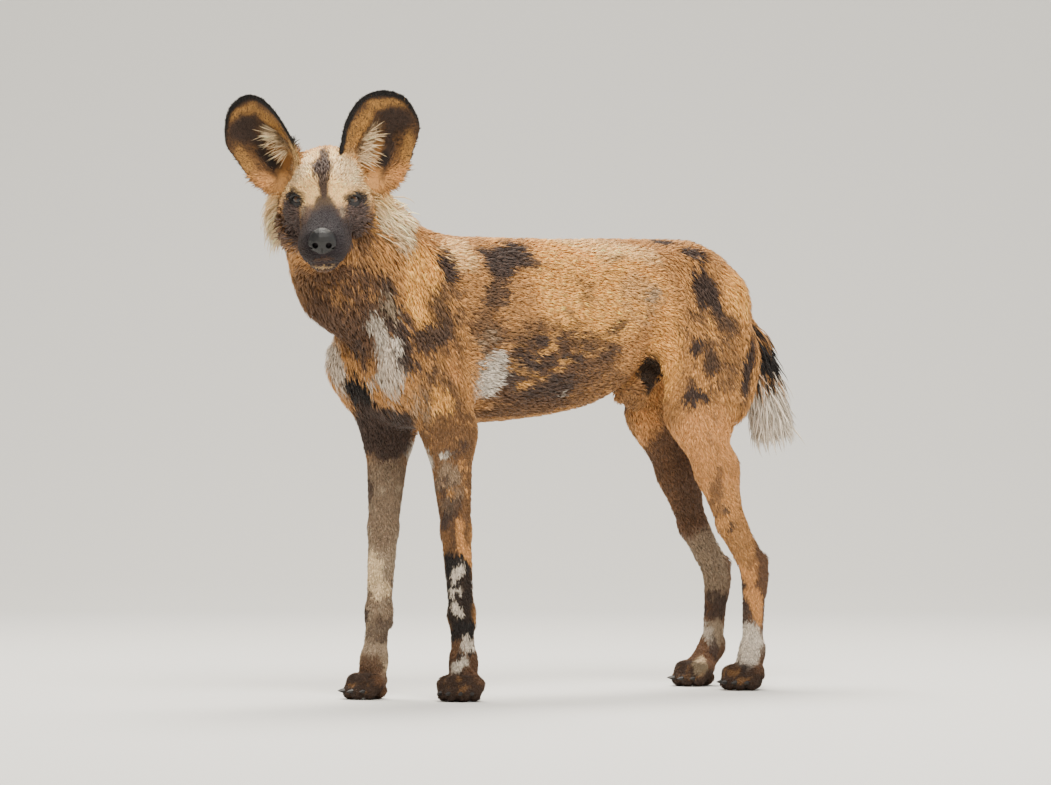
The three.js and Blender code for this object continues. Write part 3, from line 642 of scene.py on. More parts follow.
def plain_blotch(shade, centre, radii, turn=0.0, strength=1.0, mottle=0.0):
    axes = rotation("Y", turn) @ np.diag(radii)
    return shade, np.array(centre, float), np.linalg.inv(axes), strength, mottle


left_side = [
    blotch(GOLD, 590, 290, 90, 60),
    blotch(STRAW, 600, 248, 60, 12, -2, strength=0.6),
    blotch(BROWN, 552, 366, 98, 42, 2, strength=0.85, mottle=0.3),
    blotch(BROWN, 600, 392, 60, 22, -6, strength=0.6, mottle=0.3),
    blotch(CREAM, 398, 226, 14, 30, 20, strength=0.8),
    blotch(GOLD, 422, 282, 18, 46, 6),
    blotch(STRAW, 452, 250, 20, 18, -20, strength=0.7),
    blotch(DARK, 442, 264, 8, 22, 32),
    blotch(DARK, 503, 260, 30, 19, 8),
    blotch(GOLD, 491, 243, 6, 5, 0, strength=0.7),
    blotch(DARK, 526, 264, 12, 8, 0, strength=0.8),
    blotch(DARK, 492, 291, 18, 20, -30, strength=0.85),
    blotch(BROWN, 484, 332, 19, 24, 0, strength=0.8),
    blotch(GREY, 480, 336, 14, 17, 0, strength=0.5, mottle=0.5),
    blotch(BROWN, 440, 362, 27, 76, 8, strength=0.8),
    blotch(TAN, 440, 380, 24, 52, 8, strength=0.8, mottle=0.5),
    blotch(DARK, 448, 306, 20, 26, 0, strength=0.7, mottle=0.35),
    blotch(DARK, 400, 342, 13, 26, 0, strength=0.9),
    blotch(DARK, 433, 334, 20, 16, 0, strength=0.85),
    blotch(ORANGE, 451, 352, 5, 18, 8, strength=0.6, mottle=0.3),
    blotch(ORANGE, 456, 372, 7, 12, -10, strength=0.8),
    blotch(DARK, 430, 372, 10, 14, 10, strength=0.75, mottle=0.3),
    blotch(GREY, 420, 408, 15, 30, 14, strength=0.6, mottle=0.5),
    blotch(GOLD, 440, 408, 11, 26, 8, strength=0.7, mottle=0.35),
    blotch(DARK, 449, 392, 9, 22, 0, strength=0.6, mottle=0.5),
    blotch(DARK, 427, 436, 20, 12, 0, strength=0.7, mottle=0.4),
    blotch(DARK, 580, 284, 5, 25, 8, strength=0.5),
    blotch(DARK, 563, 312, 4, 6, 40, strength=0.6),
    blotch(DARK, 573, 322, 6, 3.5, 0, strength=0.6),
    blotch(BROWN, 609, 258, 8, 2.5, -12, strength=0.6),
    blotch(BROWN, 540, 372, 52, 36, 4, strength=0.85),
    blotch(DARK, 548, 368, 50, 34, 4, strength=0.9, mottle=0.5),
    blotch(GOLD, 540, 364, 42, 28, 0, strength=0.6, mottle=0.62),
    blotch(DARK, 548, 388, 24, 14, 0, strength=0.75, mottle=0.2),
    blotch(DARK, 520, 352, 12, 16, 0, strength=0.6, mottle=0.3),
    blotch(DARK, 612, 326, 13, 8, 32, strength=0.8),
    blotch(DARK, 603, 352, 11, 11, 30, strength=0.6, mottle=0.3),
    blotch(BROWN, 520, 409, 60, 9, -3, strength=0.8),
    blotch(WHITE, 486, 379, 17, 22, -22),
    blotch(WHITE, 494, 362, 10, 10),
    blotch(WHITE, 555, 394, 4, 2.5, 0, strength=0.7),
    blotch(GREY, 636, 300, 22, 26, 30, strength=0.35, mottle=0.3),
    blotch(GREY, 647, 291, 8, 9, 0, strength=0.7),
    blotch(GOLD, 664, 345, 16, 50, 0, strength=0.7),
    blotch(DARK, 705, 345, 32, 58, 8, strength=0.75, mottle=0.62),
    blotch(DARK, 658, 244, 13, 4.5, -4),
    blotch(DARK, 692, 255, 14, 9, -14),
    blotch(DARK, 703, 286, 15, 16, 10),
    blotch(DARK, 712, 300, 8, 14, 10),
    blotch(DARK, 724, 322, 16, 10, -20, strength=0.85, mottle=0.2),
    blotch(DARK, 698, 348, 7, 13, 8),
    blotch(DARK, 713, 362, 6, 13, 0, strength=0.9),
    blotch(DARK, 694, 392, 10, 10, 10),
    blotch(DARK, 747, 362, 9, 34, -6),
    blotch(BROWN, 728, 362, 12, 20, 0, strength=0.5, mottle=0.3),
    blotch(GOLD, 735, 290, 18, 24, 20, strength=0.9),
    blotch(GOLD, 706, 325, 4, 6, 0, strength=0.8),
    blotch(ORANGE, 708, 440, 40, 36, 0, strength=0.6),
    blotch(BROWN, 660, 415, 16, 30, 10, strength=0.6),
    # Black groin: dark coat, with the shade in the hollow between belly and thigh painted into it.
    blotch(BLACK, 649, 365, 15, 17, 0, 60, strength=0.95),
]
chest = [
    blotch(BROWN, 322, 296, 40, 36, 0, 110, 0.8),
    blotch(BROWN, 350, 312, 46, 56, 0, 110),
    blotch(ORANGE, 330, 268, 40, 16, 0, 80, strength=0.4),
    blotch(TAN, 348, 292, 26, 20, 10, 80, strength=0.5, mottle=0.5),
    blotch(DARK, 384, 278, 8, 18, 16, 80, strength=0.75),
    blotch(GOLD, 412, 286, 12, 38, 8, 40, strength=0.9),
    blotch(DARK, 397, 322, 14, 26, 14, 80, strength=0.9),
    blotch(TAN, 403, 330, 5, 5, 0, 80),
    blotch(GREY, 386, 302, 8, 17, 22, 80, strength=0.9),
    blotch(WHITE, 375, 332, 8, 22, 8, 80, strength=0.8),
    blotch(WHITE, 388, 366, 13, 26, -8, 80, strength=0.85),
    blotch(WHITE, 393, 346, 7, 8, 30, 80, strength=0.8),
    blotch(WHITE, 376, 376, 13, 6, 20, 80, strength=0.8),
    blotch(DARK, 405, 357, 12, 8, 0, 80, strength=0.9),
    blotch(WHITE, 337, 362, 11, 30, 12, 80, strength=0.85),
    blotch(DARK, 355, 345, 9, 7, 0, 80, strength=0.9),
    blotch(DARK, 363, 361, 4, 7, 0, 80, strength=0.9),
    blotch(BLACK, 361, 387, 14, 16, 30, 80),
    blotch(DARK, 385, 418, 40, 26, 0, 110),
]
right_side = [
    plain_blotch(GOLD, (-320, 80, 640), (70, 60, 90), 20),
    plain_blotch(DARK, (-250, 80, 600), (46, 60, 70), -15),
    plain_blotch(BROWN, (-170, 88, 560), (80, 50, 80)),
    plain_blotch(DARK, (-200, 88, 500), (90, 50, 80), 0, 0.8, 0.5),
    plain_blotch(DARK, (40, 80, 500), (130, 50, 56), 0, 0.8, 0.45),
    plain_blotch(DARK, (290, 80, 540), (80, 50, 110), 0, 0.7, 0.6),
    plain_blotch(DARK, (-120, 88, 640), (90, 60, 40), 10),
    plain_blotch(WHITE, (-140, 88, 500), (44, 40, 42), 10),
    plain_blotch(ORANGE, (-290, 80, 500), (40, 50, 60)),
    plain_blotch(DARK, (-250, 90, 470), (34, 50, 50), 30),
    plain_blotch(GOLD, (10, 80, 580), (100, 60, 76), 8),
    plain_blotch(DARK, (60, 76, 610), (16, 40, 46), 10),
    plain_blotch(DARK, (20, 80, 500), (70, 50, 40), -10),
    plain_blotch(DARK, (110, 66, 560), (40, 40, 26), 20),
    plain_blotch(WHITE, (150, 70, 520), (28, 40, 22), 10),
    plain_blotch(DARK, (250, 80, 640), (50, 50, 40), 10),
    plain_blotch(DARK, (300, 88, 560), (34, 40, 50), -20),
    plain_blotch(WHITE, (240, 90, 540), (26, 40, 30)),
    plain_blotch(DARK, (230, 88, 470), (30, 40, 44)),
    plain_blotch(DARK, (340, 70, 500), (24, 40, 60)),
    plain_blotch(ORANGE, (290, 80, 440), (50, 40, 50)),
]
leg_marks = [
    blotch(TAN, 455, 530, 60, 130, 0, 46),
    blotch(BROWN, 452, 470, 34, 80, 0, 46, 0.8, 0.25),
    blotch(BROWN, 462, 570, 20, 60, 0, 40, 0.7, 0.3),
    blotch(GREY, 448, 484, 14, 30, 0, 34, 0.6, 0.4),
    blotch(DARK, 450, 490, 18, 34, 0, 34, 0.7, 0.55),
    blotch(WHITE, 430, 462, 5, 19, 12, 30),
    blotch(WHITE, 446, 454, 10, 3.5, 0, 30),
    blotch(DARK, 458, 449, 14, 7, 10, 30, 0.8, 0.3),
    blotch(ORANGE, 465, 545, 7, 36, 6, 14, 0.8),
    blotch(DARK, 447, 520, 7, 13, -24, 26),
    blotch(DARK, 442, 543, 6, 12, 0, 26),
    blotch(BLACK, 450, 562, 11, 12, 0, 26),
    blotch(BLACK, 455, 592, 22, 34, 0, 30, 0.95),
    blotch(WHITE, 452, 570, 3.5, 10, -14, 14),
    blotch(WHITE, 454, 592, 6, 8, 20, 14),
    blotch(WHITE, 457, 610, 5, 6, 0, 14),
    blotch(BLACK, 449, 582, 4.5, 4, 0, 16),
    blotch(BROWN, 462, 650, 32, 26, 0, 46, 0.95),
    blotch(BLACK, 462, 626, 20, 8, 0, 40),
    blotch(WHITE, 466, 641, 8, 9, -6, 20),
    blotch(WHITE, 461, 666, 10, 10, 0, 20),
    blotch(BLACK, 465, 653, 9, 2.5, 12, 24, 0.8),
    blotch(GREY, 384, 560, 40, 110, 0, 46),
    blotch(BROWN, 384, 500, 30, 50, 0, 46, 0.45, 0.3),
    blotch(DARK, 380, 430, 40, 28, 0, 60),
    blotch(BROWN, 392, 590, 12, 60, 0, 40, 0.5, 0.4),
    blotch(DARK, 370, 489, 6, 12, 10, 34, 0.8),
    blotch(DARK, 369, 544, 5, 8, 0, 34),
    blotch(CREAM, 374, 574, 9, 24, 6, 30, 0.9),
    blotch(DARK, 366, 613, 5, 7, 0, 30, 0.9),
    blotch(DARK, 384, 628, 14, 12, 0, 40, 0.6, 0.3),
    blotch(CREAM, 354, 650, 9, 12, 24, 34, 0.8),
    blotch(BROWN, 372, 664, 12, 14, 0, 34, 0.8),
]
leg_marks += [
    blotch(ORANGE, 706, 470, 60, 80, 0, 46, 0.8),
    blotch(TAN, 730, 530, 26, 46, 8, 46, 0.7),
    blotch(DARK, 716, 405, 12, 13, 0, 46, 0.7, 0.5),
    blotch(DARK, 718, 510, 3, 4, 0, 30, 0.8),
    blotch(DARK, 733, 524, 4, 4, 0, 30, 0.8),
    blotch(DARK, 748, 600, 13, 28, 0, 40, 0.9, 0.2),
    blotch(ORANGE, 765, 600, 5, 34, 0, 9, 0.8),
    blotch(WHITE, 748, 645, 15, 24, 0, 34, 0.95),
    blotch(BROWN, 764, 650, 5, 30, 0, 9, 0.8),
    blotch(DARK, 743, 634, 3, 8, 0, 30, 0.7),
    # Painted light: the far hind leg's front edge, where the sun catches it, is painted orange.
    blotch(ORANGE, 655, 450, 14, 60, 18, 46, 0.7),
    blotch(BROWN, 680, 470, 24, 64, 22, 60, 0.95),
    blotch(GREY, 706, 560, 24, 34, 10, 40, 0.7),
    blotch(DARK, 708, 522, 7, 10, 0, 30, 0.6, 0.4),
    blotch(DARK, 714, 600, 14, 14, 0, 40, 0.9, 0.2),
    blotch(GREY, 713, 632, 13, 18, 0, 34, 0.95),
    blotch(WHITE, 706, 634, 7, 16, 0, 30, 0.6),
    blotch(DARK, 716, 650, 8, 11, 0, 30, 0.9),
    blotch(CREAM, 700, 663, 8, 9, 0, 30, 0.9),
]
toe_marks = []
for leg in FORE + HIND:
    toe_marks.append(plain_blotch(BLACK, carried(leg["paw"], (34, 0, 14)), (42, 48, 28), 0, 0.75))
    toe_marks.append(plain_blotch(TAN, carried(leg["paw"], (30, 0, 20)), (22, 30, 12), 0, 0.25, 0.6))


face_marks = [
    blotch(STRAW, 325, 176, 60, 36, 0, 110),
    blotch(CREAM, 298, 172, 20, 16, 0, 60, 0.7),
    blotch(CREAM, 350, 172, 20, 16, 0, 60, 0.7),
    blotch(STRAW, 384, 206, 14, 26, 0, 40, 0.9),
    blotch(BROWN, 282, 226, 9, 26, 4, 60, 0.9),
    blotch(BROWN, 366, 228, 12, 26, -4, 60, 0.8, 0.3),
    blotch(TAN, 279.5, 219, 3, 9, 0, 60, 0.9),
    blotch(GOLD, 372, 216, 5, 13, 0, 60, 0.8, 0.3),
    blotch(CHEEK, 294, 222, 15, 30, 4, 60),
    blotch(CHEEK, 354, 222, 15, 30, -4, 60),
    blotch(MASK, 303, 246, 20, 24, 0, 60, 0.8),
    blotch(MASK, 347, 246, 20, 24, 0, 60, 0.8),
    blotch(CHEEK, 307, 218, 10, 14, 6, 60, 0.9),
    blotch(CHEEK, 342, 219, 10, 14, -6, 60, 0.9),
    face_blotch(MASK, (48, 0, -50), (72, 47, 42), 0.95),
    blotch(MASK, 325, 232, 20, 32, 0, 110),
    blotch(MASK, 324, 209, 12, 17, 0, 60, 0.9),
    blotch(DARK, 324, 184, 5, 16, 0, 50, 0.8),
    blotch(DARK, 322.5, 171, 9.5, 12, 0, 50),
    blotch(DARK, 325.5, 157, 5, 10, 8, 50, 0.95),
    blotch(DARK, 324.5, 190, 3.5, 10, 0, 50, 0.9),
    blotch(BLACK, 297, 197, 12, 8, -8, 24, 0.85),
    blotch(BLACK, 352.5, 199, 12, 8, 8, 24, 0.85),
    blotch(GREY, 305, 211, 2.5, 7, 12, 14, 0.8),
    blotch(GREY, 341, 212.5, 2.5, 7, -12, 14, 0.8),
    blotch(STRAW, 314, 192, 2.5, 7, 4, 30, 0.8),
    blotch(STRAW, 334, 192, 2.5, 7, -4, 30, 0.8),
    blotch(MASK, 323, 276, 24, 8, 0, 70, 0.9),
    blotch(STRAW, 323, 266.5, 10, 1.6, 0, 30, 0.35),
    blotch(BROWN, 322, 260, 9, 2, 0, 30, 0.5),
]


RING_FOOT, RING_TOP, BRUSH_TOP, TAIL_FADE = 508, 570, 514, 12


def coat_colour(p):
    """The coat's colour at points of the body: its base, then blotch over blotch. Where two colours meet,
    hairs of one lie over the other, so each point takes its colour from a little way up the hair."""
    lie, sizes = coat_at(p)
    lie /= length_of(lie)[:, None]
    drift = sizes[:, 1] * (0.9 * noise(p, 2.6, 51) + 0.6 * noise(p, 6, 52))
    p = p - lie * drift[:, None]
    q = wandering(p)
    out = np.repeat(TAN[None], len(p), 0)

    def paint(marks, where, softness=0.2, spots=q):
        for k, (shade, centre, inward, strength, mottle) in enumerate(marks):
            d = length_of((spots[where] - centre) @ inward.T)
            cover = np.clip((1 + softness - d) / (2 * softness), 0, 1)
            cover = cover * cover * (3 - 2 * cover) * strength
            if mottle:
                coarse = noise(p[where] * (0.55, 1, 1), 13, k + 40)
                fine = noise(p[where] * (0.5, 1, 1), 5, k + 90)
                cover *= np.clip((coarse + 0.5 * fine + 1 - 2 * mottle) * 2.2 + 0.5, 0, 1)
            cover = cover[:, None]
            out[where] = out[where] * (1 - cover) + shade * cover

    belly = np.clip((470 - p[:, 2]) / 60, 0, 1) * (np.abs(p[:, 0]) < 260)
    out += (BROWN - out) * (belly * 0.5)[:, None]
    paint(left_side, q[:, 1] < 0)
    paint(right_side, q[:, 1] >= 0)
    paint(chest, q[:, 0] < -230)
    low = p[:, 2] < 440
    shank = np.clip((400 - p[:, 2]) / 60, 0, 1)[:, None]
    out += (BROWN * 1.3 - out) * shank
    paint(leg_marks, low)
    paint(toe_marks, p[:, 2] < 60)
    tail_run = np.array(TAIL, float)
    tail_mid = [np.interp(p[:, 2], tail_run[::-1, 2], tail_run[::-1, k]) for k in range(3)]
    tail_d = length_of(p - np.array(tail_mid).T)
    on_tail = (p[:, 0] > 372) & (tail_d < 70) & (p[:, 2] > 250)
    height = q[:, 2]
    ring = np.clip((height - RING_FOOT) / TAIL_FADE, 0, 1) * np.clip((RING_TOP - height) / TAIL_FADE, 0, 1)
    brush = np.clip((BRUSH_TOP - height) / TAIL_FADE, 0, 1)
    out[on_tail] = (out + (BLACK - out) * ring[:, None])[on_tail]
    out[on_tail] = (out + (WHITE - out) * brush[:, None])[on_tail]
    in_head, own = near_head(p, 18)
    in_head &= own[:, 0] > -104
    soft = wandering(p, 0.28)
    paint(face_marks, in_head, 0.25, soft)
    level = np.abs(lie[:, :1]) > np.abs(lie[:, 2:])
    along = p * np.where(level, (0.25, 1, 1), (1, 1, 0.25))
    fleck = noise(along, 5, 31) * 0.6 + noise(along, 2.2, 32) * 0.5 + noise(p, 30, 33) * 0.3
    return np.clip(out * (1 + 0.16 * fleck[:, None]), 0, 1)


# Skin. It shows where the coat is thin, and carries the coat's colours under the tufts.
def coat_material(name, rough, bump, scale, strands=False):
    material = bpy.data.materials.new(name)
    material.use_nodes = True
    nodes, links = material.node_tree.nodes, material.node_tree.links
    shader = nodes["Principled BSDF"]
    shader.inputs["Roughness"].default_value = rough
    shader.inputs["Sheen Weight"].default_value = 0.05
    shader.inputs["Sheen Roughness"].default_value = 0.5
    shader.inputs["Specular IOR Level"].default_value = 0.2
    tint = nodes.new("ShaderNodeAttribute")
    tint.attribute_name = "coat"
    grain = nodes.new("ShaderNodeTexNoise")
    grain.inputs["Scale"].default_value = scale
    grain.inputs["Detail"].default_value = 5
    if strands:
        strand = nodes.new("ShaderNodeAttribute")
        strand.attribute_name = "strand"
        links.new(strand.outputs["Vector"], grain.inputs["Vector"])
    else:
        place = nodes.new("ShaderNodeTexCoord")
        links.new(place.outputs["Object"], grain.inputs["Vector"])
    lighter = nodes.new("ShaderNodeMapRange")
    lighter.inputs["From Min"].default_value = 0.3
    lighter.inputs["From Max"].default_value = 0.7
    lighter.inputs["To Min"].default_value = 0.8
    lighter.inputs["To Max"].default_value = 1.14
    links.new(grain.outputs["Fac"], lighter.inputs["Value"])
    mix = nodes.new("ShaderNodeMix")
    mix.data_type = "RGBA"
    mix.blend_type = "MULTIPLY"
    mix.inputs["Factor"].default_value = 1
    links.new(tint.outputs["Color"], mix.inputs[6])
    links.new(lighter.outputs["Result"], mix.inputs[7])
    links.new(mix.outputs[2], shader.inputs["Base Color"])
    raised = nodes.new("ShaderNodeBump")
    raised.inputs["Strength"].default_value = bump
    raised.inputs["Distance"].default_value = 0.0008
    links.new(grain.outputs["Fac"], raised.inputs["Height"])
    links.new(raised.outputs["Normal"], shader.inputs["Normal"])
    return material


def tinted(mesh, colours):
    layer = mesh.color_attributes.new("coat", "FLOAT_COLOR", "POINT")
    layer.data.foreach_set("color", np.column_stack([colours, np.ones(len(colours))]).ravel())


def shown(name, mesh, material, nodes):
    mesh.shade_smooth()
    mesh.materials.append(material)
    piece = bpy.data.objects.new(name, mesh)
    bpy.context.scene.collection.objects.link(piece)
    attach(piece, "root")
    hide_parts(*nodes)
    return piece


CAD_NODES = list(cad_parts)
FLESH_NODES = [n for n in CAD_NODES if not n.startswith(("claw", "eye", "nose", "ear"))]
skin_colour = coat_material("skin under the coat", 0.8, 0.7, 900)
hair_colour = coat_material("coat hair", 0.6, 0.5, 1, True)
tinted(skin_mesh, coat_colour(spots))
skin = shown("skin", skin_mesh, skin_colour, FLESH_NODES)
bpy.context.view_layer.objects.active = skin
skin.select_set(True)
skin_mesh.uv_layers.new(name="OFBake")
bpy.ops.object.mode_set(mode="EDIT")
bpy.ops.mesh.select_all(action="SELECT")
bpy.ops.uv.smart_project(angle_limit=math.radians(60), island_margin=0.002)
bpy.ops.object.mode_set(mode="OBJECT")
skin.select_set(False)

# Coat. Short flat tufts lie over one another from nose to tail, longest on the neck and finest on the
# face and feet. Each is a thin closed spindle, flat underneath, bent back on to the body.
random = np.random.default_rng(7)


def scattered(mesh, count, weight=None):
    """Random points of a mesh in millimetres of the body, with their normals and unwrap places."""
    mesh.calc_loop_triangles()
    n = len(mesh.loop_triangles)
    corners = np.empty(n * 3, np.int32)
    mesh.loop_triangles.foreach_get("vertices", corners)
    loops = np.empty(n * 3, np.int32)
    mesh.loop_triangles.foreach_get("loops", loops)
    corners, loops = corners.reshape(-1, 3), loops.reshape(-1, 3)
    spots = spots_of(mesh) * 1000 - SHIFT
    normals = np.empty(len(mesh.vertices) * 3, np.float32)
    mesh.vertices.foreach_get("normal", normals)
    normals = normals.reshape(-1, 3)
    uv = np.empty(len(mesh.loops) * 2, np.float32)
    mesh.uv_layers["OFBake"].uv.foreach_get("vector", uv)
    uv = uv.reshape(-1, 2)
    a, b, c = (spots[corners[:, k]] for k in range(3))
    area = np.linalg.norm(np.cross(b - a, c - a), axis=1)
    if weight is not None:
        area = area * weight((a + b + c) / 3)
    chosen = random.choice(n, count, p=area / area.sum())
    u, v = random.random(count), random.random(count)
    over = u + v > 1
    u[over], v[over] = 1 - u[over], 1 - v[over]
    w = np.stack([1 - u - v, u, v], 1)
    point = (spots[corners[chosen]] * w[:, :, None]).sum(1)
    normal = (normals[corners[chosen]] * w[:, :, None]).sum(1)
    normal /= np.linalg.norm(normal, axis=1)[:, None]
    return point, normal, (uv[loops[chosen]] * w[:, :, None]).sum(1)


def spindles(name, root, normal, lie, length, width, lift, shades, place, stations, nodes, swing=0.2):
    """One mesh of closed spindles. Stations give the share of the length and of the width of each ring."""
    count = len(root)
    lie = lie / np.maximum(length_of(lie), 1e-6)[:, None] + (0, 0, -0.12)
    lie -= (lie * normal).sum(1)[:, None] * normal
    lie /= np.maximum(length_of(lie), 1e-6)[:, None]
    swing = random.normal(0, swing, count)[:, None]
    across = np.cross(normal, lie)
    lie = lie * np.cos(swing) + across * np.sin(swing)
    across = np.cross(normal, lie)
    long, wide = length[:, None], width[:, None]
    high = (lift * random.uniform(0.6, 1.25, count))[:, None]
    start = root - normal * 1.0
    bend = root + lie * long * 0.45 + normal * long * high * 1.15
    end = root + lie * long + normal * long * high
    rows = [start]
    for t, share in stations:
        centre = start * (1 - t) ** 2 + bend * 2 * t * (1 - t) + end * t * t
        half = across * wide * share / 2
        rows += [centre - half, centre + half, centre + normal * wide * share * 0.3]
    rows.append(end)
    spots = np.stack(rows, 1)
    spots[..., 2] = np.maximum(spots[..., 2], 0.3)
    per = spots.shape[1]
    triangles = [(0, 2, 1), (0, 3, 2), (0, 1, 3)]
    for ring in range(len(stations) - 1):
        low, top = 1 + 3 * ring, 4 + 3 * ring
        for k in range(3):
            n = (k + 1) % 3
            triangles += [(low + k, low + n, top + n), (low + k, top + n, top + k)]
    last = per - 4
    triangles += [(last, last + 1, per - 1), (last + 1, last + 2, per - 1), (last + 2, last, per - 1)]
    triangles = np.array(triangles)
    index = (np.arange(count)[:, None, None] * per + triangles[None]).reshape(-1, 3)
    mesh = bpy.data.meshes.new(name)
    mesh.vertices.add(count * per)
    mesh.vertices.foreach_set("co", ((spots.reshape(-1, 3) + SHIFT) / 1000).ravel())
    mesh.loops.add(len(index) * 3)
    mesh.loops.foreach_set("vertex_index", index.ravel().astype(np.int32))
    mesh.polygons.add(len(index))
    mesh.polygons.foreach_set("loop_start", np.arange(0, len(index) * 3, 3, dtype=np.int32))
    mesh.update(calc_edges=True)
    along = np.array([0.0] + [t for t, _ in stations for _ in range(3)] + [1.0])
    # Painted shade: each tuft is darker at its root, where the hairs lie in each other's shade, and lighter
    # towards its tip.
    painted_root_shade = (0.84 + 0.34 * along)[None, :, None]
    tone = random.normal(1, 0.17, count).clip(0.5, 1.5)[:, None, None]
    tinted(mesh, np.clip(shades[:, None] * painted_root_shade * tone, 0, 1).reshape(-1, 3))
    layer = mesh.uv_layers.new(name="OFBake")
    sideways = np.array([0.0] + [-1.0, 1.0, 0.2] * len(stations) + [0.0])
    strand = np.empty((count, per, 3), np.float32)
    strand[..., 0] = sideways * wide * 1.4
    strand[..., 1] = along * long * 0.16
    strand[..., 2] = random.uniform(0, 900, count)[:, None]
    mesh.attributes.new("strand", "FLOAT_VECTOR", "POINT").data.foreach_set("vector", strand.ravel())
    patch = np.stack([sideways, along * 2 - 1], 1) * 0.0014
    uv = (place[:, None] + patch[None]).reshape(-1, 2)
    layer.uv.foreach_set("vector", uv[index.ravel()].astype(np.float32).ravel())
    return shown(name, mesh, hair_colour, nodes)


SHORT = [(0.45, 1.0)]
LONG = [(0.2, 0.8), (0.55, 1.0), (0.82, 0.6)]


def bare_face(p):
    """Places of the head where no hair grows: nose, lips, eyes and the insides of the paws."""
    q = (p - HEAD[0]) @ HEAD[1]
    bare = (np.linalg.norm(q - (96, 0, -36), axis=1) < 19) & (q[:, 0] > 84)
    bare |= mouth_cut(q) < 2.6
    for _, look, centre in eyes:
        bare |= length_of(q - centre - 8 * look) < 11.5
    return bare


REGIONS = {
    "coat_head": lambda p: near_head(p, 12)[0],
    "coat_neck": lambda p: (p[:, 0] < -250) & (p[:, 2] > 440),
    "coat_side_left": lambda p: (p[:, 2] > 400) & (p[:, 0] < 160) & (p[:, 1] < 0),
    "coat_side_right": lambda p: (p[:, 2] > 400) & (p[:, 0] < 160),
    "coat_rump_left": lambda p: (p[:, 2] > 400) & (p[:, 0] < 372) & (p[:, 1] < 0),
    "coat_rump_right": lambda p: (p[:, 2] > 400) & (p[:, 0] < 372),
    "coat_tail": lambda p: p[:, 2] > 400,
    "coat_foreleg_left": lambda p: (p[:, 0] < 0) & (p[:, 1] < 0),
    "coat_foreleg_right": lambda p: p[:, 0] < 0,
    "coat_hindleg_left": lambda p: p[:, 1] < 0,
    "coat_hindleg_right": lambda p: p[:, 1] >= 0,
}


def crowding(p):
    """How densely tufts grow: as the area that one of them covers."""
    _, sizes = coat_at(p)
    return 1 / (sizes[:, 1] * sizes[:, 2])


TUFTS = 170000
root, normal, place = scattered(skin_mesh, TUFTS, crowding)
keep = ~bare_face(root)
root, normal, place = root[keep], normal[keep], place[keep]
lie, sizes = coat_at(root)
shades = coat_colour(root)
left = np.ones(len(root), bool)
for name, test in REGIONS.items():
    here = left & test(root)
    left &= ~here
    if not here.any():
        continue
    vary = random.normal(1, 0.14, here.sum())
    grow = 1.0
    spindles(
        name, root[here], normal[here], lie[here], sizes[here, 1] * vary, sizes[here, 2] * vary * grow,
        sizes[here, 3], shades[here], place[here], SHORT, FLESH_NODES,
    )

# Brush of the tail. Long white hairs spring from the lower half of the tail and hang past its end,
# with some of the black ring's hairs over their roots. Each is a thin closed spindle.
BRUSH_TUFTS = 5000
tail_knots = np.array(TAIL, float)


def tail_point(s):
    at = s * (len(TAIL) - 1)
    return np.array([np.interp(at, range(len(TAIL)), tail_knots[:, k]) for k in range(3)]).T


def brush_locks(name, count, first, last, length, spread):
    s = random.uniform(first, last, count)
    centre = tail_point(s)
    axis = tail_point(np.minimum(s + 0.05, 1)) - tail_point(s - 0.05)
    axis /= np.linalg.norm(axis, axis=1)[:, None]
    angle = random.uniform(0, 2 * math.pi, count)[:, None]
    side = np.repeat(np.array([[0.0, 1, 0]]), count, 0)
    front = np.cross(axis, side)
    out = front * np.cos(angle) + side * np.sin(angle)
    root = centre + out * np.interp(s, [0.4, 1], [11, 7])[:, None]
    shades = coat_colour(centre + out * 14)
    place = 0.02 + 0.96 * np.stack([s, (angle[:, 0] / (2 * math.pi))], 1)
    vary = random.normal(1, 0.15, count)
    spindles(
        name, root, out, axis, np.interp(s, [first, last], length) * vary, np.full(count, 2.6) * vary,
        np.full(count, spread), shades, place, LONG, ["tail"],
    )


brush_locks("tail_brush", BRUSH_TUFTS, 0.46, 0.99, (46, 60), 0.3)

# Ruff. Longer pale hairs stand out behind the cheeks and lie back along the neck. They grow from the
# same skin as the short coat and are straw at their lower edge and cream above.
RUFF_TUFTS = 7000


def ruff_weight(p):
    own = (p - HEAD[0]) @ HEAD[1]
    cheek = length_of((own - (-74, 0, -36)) / (22, 90, 40))
    return np.exp(-(cheek ** 4)) * (np.abs(own[:, 1]) > 44)


root, normal, place = scattered(skin_mesh, RUFF_TUFTS, ruff_weight)
own = (root - HEAD[0]) @ HEAD[1]
sideways = np.sign(own[:, 1])
lie = np.stack([np.full(len(root), -0.42), sideways * 0.62, np.full(len(root), -0.4)], 1) @ HEAD[1].T
normal = normal + 0.9 * np.stack([own[:, 0] * 0, sideways, own[:, 0] * 0 + 0.3], 1) @ HEAD[1].T
normal /= length_of(normal)[:, None]
vary = random.normal(1, 0.22, len(root)) * np.interp(own[:, 0], [-100, -60], [1.15, 0.75])
pale = np.clip((-own[:, 2] - 6) / 30 + random.normal(0, 0.25, len(root)), 0, 1)[:, None]
shades = (STRAW + (CREAM * 1.08 - STRAW) * pale) * random.uniform(0.85, 1.12, len(root))[:, None]
spindles(
    "ruff", root, normal, lie, 33 * vary, 1.8 * vary, np.full(len(root), 0.55), shades, place, LONG, ["neck"],
    0.3,
)
